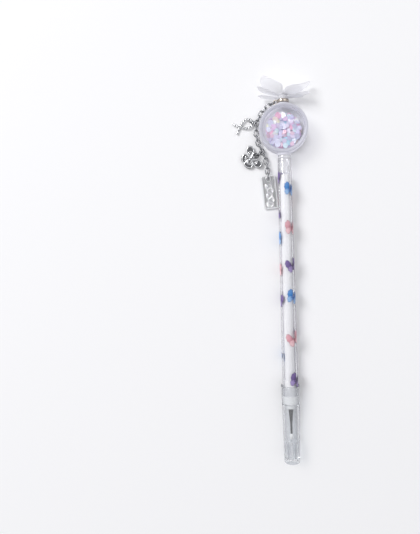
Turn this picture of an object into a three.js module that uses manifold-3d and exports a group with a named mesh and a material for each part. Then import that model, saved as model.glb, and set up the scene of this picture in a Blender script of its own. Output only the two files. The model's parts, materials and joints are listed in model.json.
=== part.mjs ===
// A capped gel pen that lies on a table: clear barrel, refill and cap, a round shaker capsule with
// confetti at the head, a frosted butterfly topper, and a chain with three charms.
// Units are millimetres. The pen runs along Y with its head at +Y, X is to its right, Z is up.
// The origin is on the table, under the middle of the capsule, whose flat back stands on it.
import * as THREE from "three";
import { mergeVertices } from "three/addons/utils/BufferGeometryUtils.js";
import Module from "manifold-3d";

const wasm = await Module();
wasm.setup();

// Capsule
const CAPSULE_RADIUS = 11.7;
const CAPSULE_DEPTH = 9.8;
const CAPSULE_SIDE_WALL = 1.45;
const CAPSULE_BACK_WALL = 1.3;
const CAPSULE_EDGE_ROUND = 1.3;
const RING_DEPTH = 1.6;
const RING_WIDTH = 1.45;
const RING_LEDGE = 0.8;
const WINDOW_THICKNESS = 0.75;
const WINDOW_CROWN = 0.3;
const BOSS_RADIUS = 3.2;
const BOSS_LENGTH = 0.9;

// Confetti
const FLAKE_ACROSS = 3.6;
const FLAKE_THICKNESS = 0.3;
const FLAKE_COUNT = 34;
const FLAKE_SPACING = 1.36;
const FLAKE_TILT = 0.26;
const FLAKE_RISE = 0.08;
const CONFETTI_SHAKE = 1.2;

// Stem plug and barrel
const STEM_COLLAR_LENGTH = 1.5;
const STEM_PLUG_LENGTH = 7.0;
const STEM_SPIGOT_RADIUS = 1.9;
const STEM_SPIGOT_LENGTH = 1.3;
const BARREL_LENGTH = 117.9;
const BARREL_HEAD_RADIUS = 3.3;
const BARREL_NOSE_RADIUS = 4.0;
const BARREL_WALL = 0.85;

// Nose plug and refill
const NOSE_SHOULDER_LENGTH = 4.2;
const NOSE_LENGTH = 4.1;
const NOSE_RADIUS = 2.7;
const NOSE_SPIGOT_LENGTH = 8.0;
const TUBE_SEAT_DEPTH = 2.0;
const TUBE_ROOM = 0.9;
const TUBE_RADIUS = 2.25;
const TUBE_WALL = 0.5;
const INK_LENGTH = 84.0;
const FOLLOWER_LENGTH = 5.0;
const TIP_BASE_RADIUS = 1.15;
const TIP_CONE_LENGTH = 5.6;
const NEEDLE_RADIUS = 0.55;
const NEEDLE_LENGTH = 6.3;
const INK_DUCT_RADIUS = 0.3;
const BALL_RADIUS = 0.3;
const BEAD_RADIUS = 0.95;
const BEAD_COVER = 0.5;
const BEAD_LENGTH = 2.9;

// Cap
const CAP_OVERLAP = 5.1;
const CAP_LENGTH = 40.0;
const CAP_MOUTH_RADIUS = 4.65;
const CAP_END_RADIUS = 3.95;
const CAP_BEAD_HEIGHT = 0.1;
const CAP_WALL = 0.5;
const CAP_END_WALL = 1.2;
const CAP_END_ROUND = 1.6;
const CAP_CHAMBER_RADIUS = 3.15;
const CAP_CHAMBER_DEPTH = 14.6;
const CAP_RIB_COUNT = 8;
const CAP_RIB_WIDTH = 0.7;
const CAP_RIB_REACH = 1.7;

// Topper pin and swivel ring
const PIN_RADIUS = 1.3;
const PIN_SEAT_DEPTH = 1.2;
const SWIVEL_RADIUS = 2.9;
const SWIVEL_LENGTH = 1.4;
const EYE_RADIUS = 1.05;
const EYE_WIRE = 0.32;
const EYE_ANGLE = THREE.MathUtils.degToRad(200);

// Topper
const HUB_RADIUS = 2.0;
const HUB_LENGTH = 3.9;
const HUB_BASE_LENGTH = 0.5;
const HUB_TOP_WALL = 0.8;
const WING_DISC_THICKNESS = 0.7;
const WING_LAYER_GAP = 0.7;
const WING_THICKNESS = 0.8;
const WING_STEPS = 6;
const WING_COLUMNS = 8;
const WING_ROOT_SHARE = 0.3;
const WING_CORNER_ROUND = 0.26;
// Each blade: angle round the pen from +X towards +Z, length, lift angles at root and tip, widths of
// its leading and trailing halves, how much longer the leading side is, and the cup of its edges.
const UPPER_WINGS = [
  { angle: 146, reach: 10.0, lift: [30, 76], lead: 9.0, trail: 6.0, slant: 0.42, cup: 0.5 },
  { angle: 168, reach: 11.2, lift: [8, 28], lead: 4.6, trail: 2.2, slant: -0.15, cup: 0.5 },
  { angle: 21, reach: 10.0, lift: [6, 38], lead: 7.4, trail: 7.3, slant: -0.45, cup: 0.5 },
  { angle: 28, reach: 7.4, lift: [16, 30], lead: 4.0, trail: 6.6, slant: -0.06, cup: 0.5 },
];
const LOWER_WINGS = [
  { angle: 188, reach: 10.0, lift: [3, 14], lead: 2.8, trail: 3.6, slant: -0.1, cup: 0.3 },
  { angle: 4, reach: 11.4, lift: [3, 9], lead: 3.4, trail: 3.2, slant: 0.0, cup: 0.3 },
  { angle: -14, reach: 8.8, lift: [2, 6], lead: 2.4, trail: 2.4, slant: 0.0, cup: 0.3 },
];

// Chain
const LINK_WIRE = 0.3;
const LINK_LENGTH = 3.9;
const LINK_WIDTH = 2.7;
const LINK_COUNT = 16;
const LINK_GAP = 0.22;
const CHAIN_HEIGHT = 1.45;

// Jump rings and charms
const JUMP_RADIUS = 1.9;
const JUMP_WIRE = 0.28;
const CHARM_HEIGHT = 1.2;
const CHARM_SLOPE = THREE.MathUtils.degToRad(2.2);
const CHARM_THICKNESS = 0.9;
const CHARM_EYE_RADIUS = 1.1;
const CHARM_EYE_WIRE = 0.32;
const RIBBON_LINK = 6;
const RIBBON = {
  width: 1.0,
  loopLength: 7.0,
  loopHalfWidth: 2.2,
  tailReach: 2.9,
  tailSpread: 2.8,
  turn: 33,
};
const BUTTERFLY_LINK = 12;
const BUTTERFLY = {
  thickness: 1.1,
  fore: { length: 6.6, width: 2.4, angle: 64 },
  hind: { length: 4.8, width: 2.9, angle: 142 },
  bodyLength: 5.0,
  bodyWidth: 1.4,
};
const TAG_LENGTH = 16.6;
const TAG_WIDTH = 6.9;
const TAG_RELIEF = 0.25;
const TAG_CORNER = 0.9;
const TAG_HOLE_RADIUS = 1.05;
const TAG_EDGE = 0.6;
const TAG_BORDER = 0.55;
const TAG_VINE_WIDTH = 0.6;
const TAG_BERRY_RADIUS = 0.5;

// Clearances
const FIT = 0.1;
const SEAT = 0.02;
const RUNNING = 0.2;
const RING_SLOPE_ROOM = 0.4;

// Places along the pen that the sizes above lead to
const AXIS_HEIGHT = CAPSULE_DEPTH / 2;
const CAVITY_RADIUS = CAPSULE_RADIUS - CAPSULE_SIDE_WALL;
const CUP_DEPTH = CAPSULE_DEPTH - RING_DEPTH;
const BOSS_TIP = CAPSULE_RADIUS + BOSS_LENGTH;
const BARREL_TOP = -(BOSS_TIP + SEAT + STEM_COLLAR_LENGTH);
const BARREL_END = BARREL_TOP - SEAT - BARREL_LENGTH;
const NOSE_STEP = BARREL_END - SEAT - NOSE_SHOULDER_LENGTH;
const NOSE_END = NOSE_STEP - NOSE_LENGTH;
const TUBE_END = BARREL_END + NOSE_SPIGOT_LENGTH - TUBE_SEAT_DEPTH;
const TUBE_TOP = BARREL_TOP - STEM_PLUG_LENGTH - TUBE_ROOM;
const CAP_MOUTH = BARREL_END + CAP_OVERLAP;
const CAP_END = CAP_MOUTH - CAP_LENGTH;
const CAP_STEP = NOSE_STEP - FIT;
const CAP_CHAMBER_END = NOSE_END - CAP_CHAMBER_DEPTH;
const SWIVEL_BASE = BOSS_TIP + RUNNING;
const HUB_BASE = SWIVEL_BASE + SWIVEL_LENGTH + RUNNING;
const LOWER_LAYER_BASE = HUB_BASE + HUB_BASE_LENGTH + SEAT;
const UPPER_LAYER_BASE = LOWER_LAYER_BASE + WING_DISC_THICKNESS + WING_LAYER_GAP;
const EYE_CENTRE_REACH = SWIVEL_RADIUS + EYE_RADIUS - EYE_WIRE / 2;

// Radius of the barrel's outside at a place along the pen.
function barrelRadiusAt(y) {
  const share = (BARREL_TOP - y) / (BARREL_TOP - BARREL_END);
  return THREE.MathUtils.lerp(BARREL_HEAD_RADIUS, BARREL_NOSE_RADIUS, share);
}

// Radius of the cap's outside at a place along the pen, its moulding draft included.
function capRadiusAt(y) {
  const share = (CAP_MOUTH - y) / CAP_LENGTH;
  return THREE.MathUtils.lerp(CAP_MOUTH_RADIUS, CAP_END_RADIUS, share);
}

// Turns a closed geometry into a solid for cutting and joining.
function toSolid(geometry) {
  const bare = geometry.index ? geometry.toNonIndexed() : geometry.clone();
  bare.deleteAttribute("normal");
  bare.deleteAttribute("uv");
  const merged = mergeVertices(bare, 1e-4);
  return new wasm.Manifold(
    new wasm.Mesh({
      numProp: 3,
      vertProperties: merged.attributes.position.array,
      triVerts: new Uint32Array(merged.index.array),
    }),
  );
}

// Turns a solid back into a geometry.
function toGeometry(solid) {
  const mesh = solid.getMesh();
  const geometry = new THREE.BufferGeometry();
  geometry.setAttribute("position", new THREE.BufferAttribute(mesh.vertProperties, 3));
  geometry.setIndex(new THREE.BufferAttribute(mesh.triVerts, 1));
  geometry.computeVertexNormals();
  return geometry;
}

function join(first, ...others) {
  const solid = others.reduce((sum, other) => sum.add(toSolid(other)), toSolid(first));
  return toGeometry(solid);
}

function cut(body, ...tools) {
  const solid = tools.reduce((rest, tool) => rest.subtract(toSolid(tool)), toSolid(body));
  return toGeometry(solid);
}

// Revolves an outline of [radius, height] points round the Y axis.
function revolve(outline, segments = 28) {
  return new THREE.LatheGeometry(
    outline.map(([radius, height]) => new THREE.Vector2(radius, height)),
    segments,
  );
}

// The same, round the Z axis.
function revolveUpright(outline, segments = 44) {
  return revolve(outline, segments).rotateX(Math.PI / 2);
}

// Points of a quarter round between two directions, for the outline of a revolve.
function roundCorner(centreRadius, centreHeight, size, from, to, steps = 3) {
  return Array.from({ length: steps + 1 }, (_, i) => {
    const angle = THREE.MathUtils.degToRad(THREE.MathUtils.lerp(from, to, i / steps));
    return [centreRadius + size * Math.cos(angle), centreHeight + size * Math.sin(angle)];
  });
}

// A rod between two places along Y.
function rod(radius, low, high, segments = 24) {
  return new THREE.CylinderGeometry(radius, radius, high - low, segments).translate(
    0,
    (low + high) / 2,
    0,
  );
}

// A round wire bent to a ring in the XY plane and pulled apart along X by the given stretch.
function wireRing(ringRadius, wireRadius, stretch = 0, segments = 14, sides = 6) {
  const ring = new THREE.TorusGeometry(ringRadius, wireRadius, sides, segments);
  ring.rotateZ(Math.PI / segments);
  const position = ring.attributes.position;
  for (let i = 0; i < position.count; i++) {
    const x = position.getX(i);
    position.setX(i, x + Math.sign(x) * stretch);
  }
  return ring;
}

// Capsule: a cup with a flat back, the boss of the stem and the boss of the topper pin.
function capsuleBody() {
  const round = CAPSULE_EDGE_ROUND;
  const cup = revolveUpright([
    [0, 0],
    ...roundCorner(CAPSULE_RADIUS - round, round, round, -90, 0),
    [CAPSULE_RADIUS, CUP_DEPTH],
    [CAVITY_RADIUS, CUP_DEPTH],
    [CAVITY_RADIUS, CAPSULE_BACK_WALL],
    [0, CAPSULE_BACK_WALL],
  ]);
  const bossRoot = CAPSULE_RADIUS - CAPSULE_SIDE_WALL / 2;
  const stemBoss = rod(BOSS_RADIUS, -BOSS_TIP, -bossRoot).translate(0, 0, AXIS_HEIGHT);
  const pinBoss = rod(BOSS_RADIUS - 0.4, bossRoot, BOSS_TIP).translate(0, 0, AXIS_HEIGHT);
  const stemSocketDepth = STEM_SPIGOT_LENGTH + FIT;
  const stemSocket = rod(STEM_SPIGOT_RADIUS + FIT, -BOSS_TIP - 1, -BOSS_TIP + stemSocketDepth);
  const pinSocket = rod(PIN_RADIUS + FIT, BOSS_TIP - PIN_SEAT_DEPTH - FIT, BOSS_TIP + 1);
  return cut(
    join(cup, stemBoss, pinBoss),
    stemSocket.translate(0, 0, AXIS_HEIGHT),
    pinSocket.translate(0, 0, AXIS_HEIGHT),
  );
}

// The frosted front ring, with the rebate that the window sits in.
function capsuleRing() {
  const base = CUP_DEPTH + SEAT;
  const open = CAPSULE_RADIUS - RING_WIDTH;
  const round = 0.5;
  return revolveUpright([
    [open - RING_LEDGE, base],
    [CAPSULE_RADIUS, base],
    ...roundCorner(CAPSULE_RADIUS - round, CAPSULE_DEPTH - round, round, 0, 90),
    ...roundCorner(open + round, CAPSULE_DEPTH - round, round, 90, 180),
    [open, CAPSULE_DEPTH - RING_DEPTH / 2],
    [open - RING_LEDGE, CAPSULE_DEPTH - RING_DEPTH / 2],
    [open - RING_LEDGE, base],
  ]);
}

// The clear window, a disc with a slight crown.
function capsuleWindow() {
  const radius = CAPSULE_RADIUS - RING_WIDTH - FIT;
  const base = CAPSULE_DEPTH - RING_DEPTH / 2 + SEAT;
  const edge = base + WINDOW_THICKNESS - WINDOW_CROWN;
  const steps = 4;
  const crown = Array.from({ length: steps + 1 }, (_, i) => {
    const share = 1 - i / steps;
    return [radius * share, edge + WINDOW_CROWN * (1 - share * share)];
  });
  return revolveUpright([[0, base], [radius, base], ...crown]);
}

// Confetti: hexagonal flakes in a sunflower pattern, each tilted its own way, in one loose bed.
function confetti() {
  const turn = Math.PI * (3 - Math.sqrt(5));
  const flakes = Array.from({ length: FLAKE_COUNT }, (_, i) => {
    const reach = FLAKE_SPACING * Math.sqrt(i);
    const tilt = FLAKE_TILT * Math.sin(i * 2.4);
    const flake = new THREE.CylinderGeometry(
      FLAKE_ACROSS / 2,
      FLAKE_ACROSS / 2,
      FLAKE_THICKNESS,
      6,
    );
    flake.rotateX(Math.PI / 2);
    flake.rotateZ(i);
    flake.rotateX(tilt);
    flake.rotateY(FLAKE_TILT * Math.cos(i * 1.7));
    const rise = FLAKE_RISE * Math.sin(i * 1.1);
    return flake.translate(reach * Math.cos(turn * i), reach * Math.sin(turn * i), rise);
  });
  return join(...flakes).translate(0, -CONFETTI_SHAKE / 2, CAPSULE_BACK_WALL + 1.9);
}

// Stem plug: a spigot in the capsule's boss, a collar, and the plug in the barrel.
function stemPlug() {
  const plugRadius = BARREL_HEAD_RADIUS - BARREL_WALL - FIT;
  const top = BARREL_TOP + STEM_COLLAR_LENGTH;
  const end = BARREL_TOP - STEM_PLUG_LENGTH;
  return revolve([
    [0, end],
    [plugRadius - 0.4, end],
    [plugRadius, end + 0.6],
    [plugRadius, BARREL_TOP],
    [BARREL_HEAD_RADIUS, BARREL_TOP],
    [BOSS_RADIUS, top],
    [STEM_SPIGOT_RADIUS, top],
    [STEM_SPIGOT_RADIUS, top + STEM_SPIGOT_LENGTH],
    [0, top + STEM_SPIGOT_LENGTH],
  ]);
}

// Barrel: a clear tube with moulding draft, open at both ends.
function barrel() {
  const high = BARREL_TOP - SEAT;
  return revolve([
    [BARREL_NOSE_RADIUS - BARREL_WALL, BARREL_END],
    [BARREL_NOSE_RADIUS, BARREL_END],
    [BARREL_HEAD_RADIUS, high],
    [BARREL_HEAD_RADIUS - BARREL_WALL, high],
    [BARREL_HEAD_RADIUS - BARREL_WALL, high - STEM_PLUG_LENGTH],
    [BARREL_NOSE_RADIUS - BARREL_WALL, BARREL_END],
  ]);
}

// Nose plug: spigot in the barrel, shoulder as wide as the barrel, and the narrow nose.
function nosePlug() {
  const spigotTop = BARREL_END + NOSE_SPIGOT_LENGTH;
  const spigotRadius = barrelRadiusAt(spigotTop) - BARREL_WALL - FIT - 0.15;
  const shoulderTop = BARREL_END - SEAT;
  const tubeBore = TUBE_RADIUS + FIT;
  const tipBore = TIP_BASE_RADIUS + FIT;
  const boreStep = TUBE_END - FIT;
  return revolve([
    [tipBore, NOSE_END],
    [NOSE_RADIUS - 0.35, NOSE_END],
    [NOSE_RADIUS, NOSE_END + 0.6],
    [NOSE_RADIUS + 0.15, NOSE_STEP],
    [BARREL_NOSE_RADIUS - 0.25, NOSE_STEP],
    [BARREL_NOSE_RADIUS, NOSE_STEP + 0.5],
    [BARREL_NOSE_RADIUS, shoulderTop],
    [spigotRadius, shoulderTop],
    [spigotRadius, spigotTop],
    [tubeBore, spigotTop],
    [tubeBore, boreStep],
    [tipBore, boreStep],
    [tipBore, NOSE_END],
  ]);
}

// Refill tube: milky white polypropylene, open at the back.
function refillTube() {
  const bore = TUBE_RADIUS - TUBE_WALL;
  return revolve([
    [bore, TUBE_END],
    [TUBE_RADIUS, TUBE_END],
    [TUBE_RADIUS, TUBE_TOP],
    [bore, TUBE_TOP],
    [bore, TUBE_END],
  ]);
}

// Gel ink: a column in the tube, from the tip up.
function gelInk() {
  const bore = TUBE_RADIUS - TUBE_WALL - SEAT;
  return rod(bore, TUBE_END + SEAT, TUBE_END + INK_LENGTH, 20);
}

// Grease follower: the plug that rests on the ink and closes it off from the air.
function greaseFollower() {
  const bore = TUBE_RADIUS - TUBE_WALL - SEAT;
  const low = TUBE_END + INK_LENGTH + SEAT;
  return rod(bore, low, low + FOLLOWER_LENGTH, 20);
}

// Metal tip: shank in the nose, cone, needle and the crimped seat of the ball.
function metalTip() {
  const coneEnd = NOSE_END - TIP_CONE_LENGTH;
  const needleEnd = coneEnd - NEEDLE_LENGTH;
  const shankTop = TUBE_END - FIT;
  return revolve(
    [
      [INK_DUCT_RADIUS + 0.08, needleEnd],
      [INK_DUCT_RADIUS + 0.16, needleEnd],
      [NEEDLE_RADIUS - 0.05, needleEnd + 0.5],
      [NEEDLE_RADIUS, coneEnd - 0.3],
      [NEEDLE_RADIUS + 0.12, coneEnd],
      [TIP_BASE_RADIUS - 0.15, NOSE_END - 0.9],
      [TIP_BASE_RADIUS, NOSE_END - 0.7],
      [TIP_BASE_RADIUS, shankTop],
      [INK_DUCT_RADIUS + 0.08, shankTop],
      [INK_DUCT_RADIUS + 0.08, needleEnd],
    ],
    24,
  );
}

function writingBall() {
  const coneEnd = NOSE_END - TIP_CONE_LENGTH;
  const centre = coneEnd - NEEDLE_LENGTH - 0.02;
  return new THREE.SphereGeometry(BALL_RADIUS, 12, 8).translate(0, centre, 0);
}

// Protective bead: a drop of soft resin over the ball and the needle's end.
function tipBead() {
  const needleEnd = NOSE_END - TIP_CONE_LENGTH - NEEDLE_LENGTH;
  const top = needleEnd + BEAD_COVER;
  const end = top - BEAD_LENGTH;
  const hollow = NEEDLE_RADIUS + 0.05;
  const floor = needleEnd - BALL_RADIUS - 0.12;
  return revolve(
    [
      [0, end],
      [BEAD_RADIUS * 0.6, end + 0.2],
      [BEAD_RADIUS * 0.95, end + 0.8],
      [BEAD_RADIUS, end + 1.5],
      [BEAD_RADIUS * 0.8, top - 0.3],
      [hollow + 0.1, top],
      [hollow, top],
      [hollow, floor],
      [0, floor],
    ],
    20,
  );
}

// Cap: draft outside, a bead round the mouth, a wide bore for the barrel, the chamber for the
// tip, and ribs along the pocket in its closed end.
function capShell() {
  const mouthBore = barrelRadiusAt(CAP_MOUTH) + FIT;
  const seatBore = BARREL_NOSE_RADIUS + FIT;
  const round = CAP_END_ROUND;
  const pocketEnd = CAP_END + CAP_END_WALL;
  const pocketRadius = capRadiusAt(CAP_CHAMBER_END) - CAP_WALL;
  const shell = revolve([
    [0, CAP_END],
    ...roundCorner(CAP_END_RADIUS - round, CAP_END + round, round, -90, 0),
    [capRadiusAt(CAP_MOUTH - 1.2), CAP_MOUTH - 1.2],
    [CAP_MOUTH_RADIUS + CAP_BEAD_HEIGHT, CAP_MOUTH - 0.9],
    [CAP_MOUTH_RADIUS + CAP_BEAD_HEIGHT, CAP_MOUTH - 0.3],
    [CAP_MOUTH_RADIUS, CAP_MOUTH],
    [mouthBore + 0.15, CAP_MOUTH],
    [seatBore, BARREL_END],
    [seatBore, CAP_STEP],
    [CAP_CHAMBER_RADIUS + 0.2, CAP_STEP],
    [CAP_CHAMBER_RADIUS, CAP_CHAMBER_END],
    [pocketRadius, CAP_CHAMBER_END - 0.5],
    [CAP_END_RADIUS - CAP_WALL - 0.2, pocketEnd + 0.8],
    [CAP_END_RADIUS - CAP_WALL - 1.0, pocketEnd],
    [0, pocketEnd],
  ]);
  const ribTop = CAP_CHAMBER_END - 0.3;
  const ribs = Array.from({ length: CAP_RIB_COUNT }, (_, i) => {
    const outer = pocketRadius + CAP_WALL / 2;
    const rib = new THREE.BoxGeometry(outer - CAP_RIB_REACH, ribTop - pocketEnd + 0.4, CAP_RIB_WIDTH);
    rib.translate((outer + CAP_RIB_REACH) / 2, (ribTop + pocketEnd - 0.4) / 2, 0);
    return rib.rotateY((2 * Math.PI * i) / CAP_RIB_COUNT);
  });
  return join(shell, ...ribs);
}

// Topper pin: the metal pin that holds the swivel ring and the topper on the capsule.
function topperPin() {
  const low = BOSS_TIP - PIN_SEAT_DEPTH;
  const high = HUB_BASE + HUB_LENGTH - HUB_TOP_WALL - FIT;
  return rod(PIN_RADIUS, low, high);
}

// Swivel ring: a plain metal collar on the pin, with a wire eye on its side.
function swivelRing() {
  const bore = PIN_RADIUS + RUNNING;
  const high = SWIVEL_BASE + SWIVEL_LENGTH;
  const edge = 0.25;
  const collar = revolve([
    [bore, SWIVEL_BASE],
    [SWIVEL_RADIUS - edge, SWIVEL_BASE],
    [SWIVEL_RADIUS, SWIVEL_BASE + edge],
    [SWIVEL_RADIUS, high - edge],
    [SWIVEL_RADIUS - edge, high],
    [bore, high],
    [bore, SWIVEL_BASE],
  ]);
  const eye = wireRing(EYE_RADIUS, EYE_WIRE);
  eye.translate(EYE_CENTRE_REACH, SWIVEL_BASE + SWIVEL_LENGTH / 2, 0);
  eye.rotateY(-EYE_ANGLE);
  return join(collar, eye);
}

// Topper hub: a base flange and the domed stem that both wing layers sit on.
function topperHub() {
  const top = HUB_BASE + HUB_LENGTH;
  const bore = PIN_RADIUS + SEAT;
  const boreTop = top - HUB_TOP_WALL;
  return revolve([
    [bore, HUB_BASE],
    [HUB_RADIUS + 0.5, HUB_BASE],
    [HUB_RADIUS + 0.7, HUB_BASE + HUB_BASE_LENGTH],
    [HUB_RADIUS, HUB_BASE + HUB_BASE_LENGTH],
    [HUB_RADIUS, top - 0.5],
    [HUB_RADIUS * 0.6, top],
    [0, top],
    [0, boreTop],
    [bore, boreTop],
    [bore, HUB_BASE],
  ]);
}

// Closed thin sheet on a grid: pointAt(row, column) gives its middle, moved by half the thickness
// to both sides along sideAt(row, column), which points the way rows turned to columns do.
function thinSheet(rows, columns, pointAt, sideAt, thickness) {
  const positions = [];
  for (const side of [1, -1]) {
    for (let i = 0; i <= rows; i++) {
      for (let j = 0; j <= columns; j++) {
        const half = sideAt(i / rows, j / columns).multiplyScalar((side * thickness) / 2);
        positions.push(...pointAt(i / rows, j / columns).add(half).toArray());
      }
    }
  }
  const layer = (rows + 1) * (columns + 1);
  const at = (i, j, side) => i * (columns + 1) + j + side * layer;
  const indices = [];
  const face = (a, b, c, d) => indices.push(a, b, c, a, c, d);
  for (let i = 0; i < rows; i++) {
    for (let j = 0; j < columns; j++) {
      face(at(i, j, 0), at(i + 1, j, 0), at(i + 1, j + 1, 0), at(i, j + 1, 0));
      face(at(i, j, 1), at(i, j + 1, 1), at(i + 1, j + 1, 1), at(i + 1, j, 1));
    }
  }
  for (let i = 0; i < rows; i++) {
    face(at(i, 0, 0), at(i, 0, 1), at(i + 1, 0, 1), at(i + 1, 0, 0));
    face(at(i, columns, 0), at(i + 1, columns, 0), at(i + 1, columns, 1), at(i, columns, 1));
  }
  for (let j = 0; j < columns; j++) {
    face(at(0, j, 0), at(0, j + 1, 0), at(0, j + 1, 1), at(0, j, 1));
    face(at(rows, j, 0), at(rows, j, 1), at(rows, j + 1, 1), at(rows, j + 1, 0));
  }
  const geometry = new THREE.BufferGeometry();
  geometry.setAttribute("position", new THREE.Float32BufferAttribute(positions, 3));
  geometry.setIndex(indices);
  return geometry;
}

// One wing blade. It leaves the hub at the given angle round the pen and curls up along an arc
// from the first to the second lift angle; its edges cup, and its leading side is the longer.
function wingBlade({ angle, reach, lift, lead, trail, slant, cup }, base) {
  const round = THREE.MathUtils.degToRad(angle);
  const outward = new THREE.Vector3(Math.cos(round), 0, Math.sin(round));
  const across = new THREE.Vector3(-Math.sin(round), 0, Math.cos(round));
  const start = THREE.MathUtils.degToRad(lift[0]);
  const bend = THREE.MathUtils.degToRad(lift[1] - lift[0]) / reach;
  const liftAt = (length) => start + bend * length;
  const cornerAt = (side) => 1 - WING_CORNER_ROUND * Math.pow(side, 4);
  const lengthAt = (s, side) => reach * s * (1 + slant * side) * cornerAt(side);
  const normalAt = (s, t) => {
    const rise = liftAt(lengthAt(s, 2 * t - 1));
    const normal = outward.clone().multiplyScalar(-Math.sin(rise));
    return normal.add(new THREE.Vector3(0, Math.cos(rise), 0));
  };
  const pointAt = (s, t) => {
    const side = 2 * t - 1;
    const length = lengthAt(s, side);
    const far = HUB_RADIUS - 0.4 + (Math.sin(liftAt(length)) - Math.sin(start)) / bend;
    const high = base + (Math.cos(start) - Math.cos(liftAt(length))) / bend;
    const opening = Math.sin((Math.PI / 2) * Math.pow(s, 0.9));
    const fullness = WING_ROOT_SHARE + (1 - WING_ROOT_SHARE) * opening;
    const width = side * fullness * (side > 0 ? lead : trail);
    const point = outward.clone().multiplyScalar(far).addScaledVector(across, width);
    point.y = high;
    return point.addScaledVector(normalAt(s, t), cup * side * side * fullness);
  };
  const underside = (s, t) => normalAt(s, t).negate();
  return thinSheet(WING_STEPS, WING_COLUMNS, pointAt, underside, WING_THICKNESS);
}

// A layer of the topper: its blades fused to a disc that sits on the hub's stem.
function wingLayer(blades, base) {
  const disc = rod(HUB_RADIUS + 0.5, base, base + WING_DISC_THICKNESS);
  const middle = base + WING_DISC_THICKNESS / 2;
  const bore = rod(HUB_RADIUS + SEAT, base - 2, base + 12);
  return cut(join(disc, ...blades.map((blade) => wingBlade(blade, middle))), bore);
}

// Chain route, from the eye of the swivel ring down to the table and round the capsule.
const eyePivotReach = EYE_CENTRE_REACH + EYE_RADIUS - (EYE_WIRE + LINK_WIRE + LINK_GAP) / 2;
const eyePivot = new THREE.Vector3(
  eyePivotReach * Math.cos(EYE_ANGLE),
  SWIVEL_BASE + SWIVEL_LENGTH / 2,
  AXIS_HEIGHT + eyePivotReach * Math.sin(EYE_ANGLE),
);
const chainRoute = new THREE.CatmullRomCurve3([
  eyePivot,
  new THREE.Vector3(-6.7, 12.8, 2.1),
  new THREE.Vector3(-9.8, 10.4, CHAIN_HEIGHT),
  new THREE.Vector3(-12.6, 6.2, CHAIN_HEIGHT),
  new THREE.Vector3(-13.5, 1.5, CHAIN_HEIGHT),
  new THREE.Vector3(-13.3, -3.0, CHAIN_HEIGHT),
  new THREE.Vector3(-11.6, -7.8, CHAIN_HEIGHT),
  new THREE.Vector3(-9.5, -12.2, CHAIN_HEIGHT),
  new THREE.Vector3(-8.6, -17.2, CHAIN_HEIGHT),
  new THREE.Vector3(-8.2, -22.0, CHAIN_HEIGHT),
  new THREE.Vector3(-7.8, -27.0, CHAIN_HEIGHT),
]);
const LINK_PITCH = LINK_LENGTH - 4 * LINK_WIRE - LINK_GAP;
const routeLength = chainRoute.getLength();
const chainPivots = Array.from({ length: LINK_COUNT + 1 }, (_, i) =>
  chainRoute.getPointAt((i * LINK_PITCH) / routeLength),
);

// Frame of a link: X along it, Z up from the table as far as its slope lets it.
function linkFrame(index) {
  const from = chainPivots[index - 1];
  const to = chainPivots[index];
  const along = to.clone().sub(from).normalize();
  const up = new THREE.Vector3(0, 0, 1).addScaledVector(along, -along.z).normalize();
  const side = up.clone().cross(along);
  const middle = from.clone().add(to).multiplyScalar(0.5);
  return { along, side, up, middle, matrix: frameMatrix(along, side, up, middle) };
}

function frameMatrix(x, y, z, origin) {
  return new THREE.Matrix4().makeBasis(x, y, z).setPosition(origin);
}

// Links lie flat and stand on edge by turns: the odd ones stand.
function chainLink(index) {
  const ringRadius = LINK_WIDTH / 2 - LINK_WIRE;
  const link = wireRing(ringRadius, LINK_WIRE, (LINK_LENGTH - LINK_WIDTH) / 2);
  if (index % 2 === 1) link.rotateX(Math.PI / 2);
  return link.applyMatrix4(linkFrame(index).matrix);
}

// A jump ring stands upright and holds a wire of the chain and the rim of a charm. wire is the
// middle of the chain's wire, outward the way to the charm. It gives the ring's frame and the
// middle of the slanting way that the ring takes through the charm.
function jumpRingAt(wire, outward) {
  const centreHeight = JUMP_RADIUS + JUMP_WIRE + FIT;
  const chord = (height) => Math.sqrt(JUMP_RADIUS ** 2 - (centreHeight - height) ** 2);
  const offset = chord(wire.z) - (LINK_WIRE + JUMP_WIRE + LINK_GAP);
  const up = new THREE.Vector3(0, 0, 1);
  const side = up.clone().cross(outward);
  const centre = wire.clone().addScaledVector(outward, offset).setZ(centreHeight);
  const low = chord(CHARM_HEIGHT - CHARM_THICKNESS / 2);
  const high = chord(CHARM_HEIGHT + CHARM_THICKNESS / 2);
  const pass = centre.clone().addScaledVector(outward, (low + high) / 2).setZ(CHARM_HEIGHT);
  const down = outward.clone().applyAxisAngle(side, CHARM_SLOPE);
  return {
    matrix: frameMatrix(outward, up, side.clone().negate(), centre),
    charm: frameMatrix(down, side, down.clone().cross(side), pass),
  };
}

// The side wire of a flat link, on the side away from the pen, and the way out from it.
function linkSide(index) {
  const { side, middle } = linkFrame(index);
  const outward = side.clone().multiplyScalar(-1).setZ(0).normalize();
  const reach = LINK_WIDTH / 2 - LINK_WIRE;
  return jumpRingAt(middle.clone().addScaledVector(outward, reach), outward);
}

// The end wire of the last link, and the way on from it.
function chainEnd() {
  const { along, middle } = linkFrame(LINK_COUNT);
  const outward = along.clone().setZ(0).normalize();
  return jumpRingAt(middle.clone().addScaledVector(outward, LINK_LENGTH / 2 - LINK_WIRE), outward);
}

function jumpRing(place) {
  return wireRing(JUMP_RADIUS, JUMP_WIRE, 0, 18).applyMatrix4(place.matrix);
}

// A closed drop-shaped outline: from its point at the root, out to its length and back.
function dropOutline(length, width, steps = 18) {
  return Array.from({ length: steps }, (_, i) => {
    const turn = (2 * Math.PI * i) / steps;
    const x = (length * (1 - Math.cos(turn))) / 2;
    return new THREE.Vector2(x, -width * Math.sin(turn) * Math.sin(turn / 2));
  });
}

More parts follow.
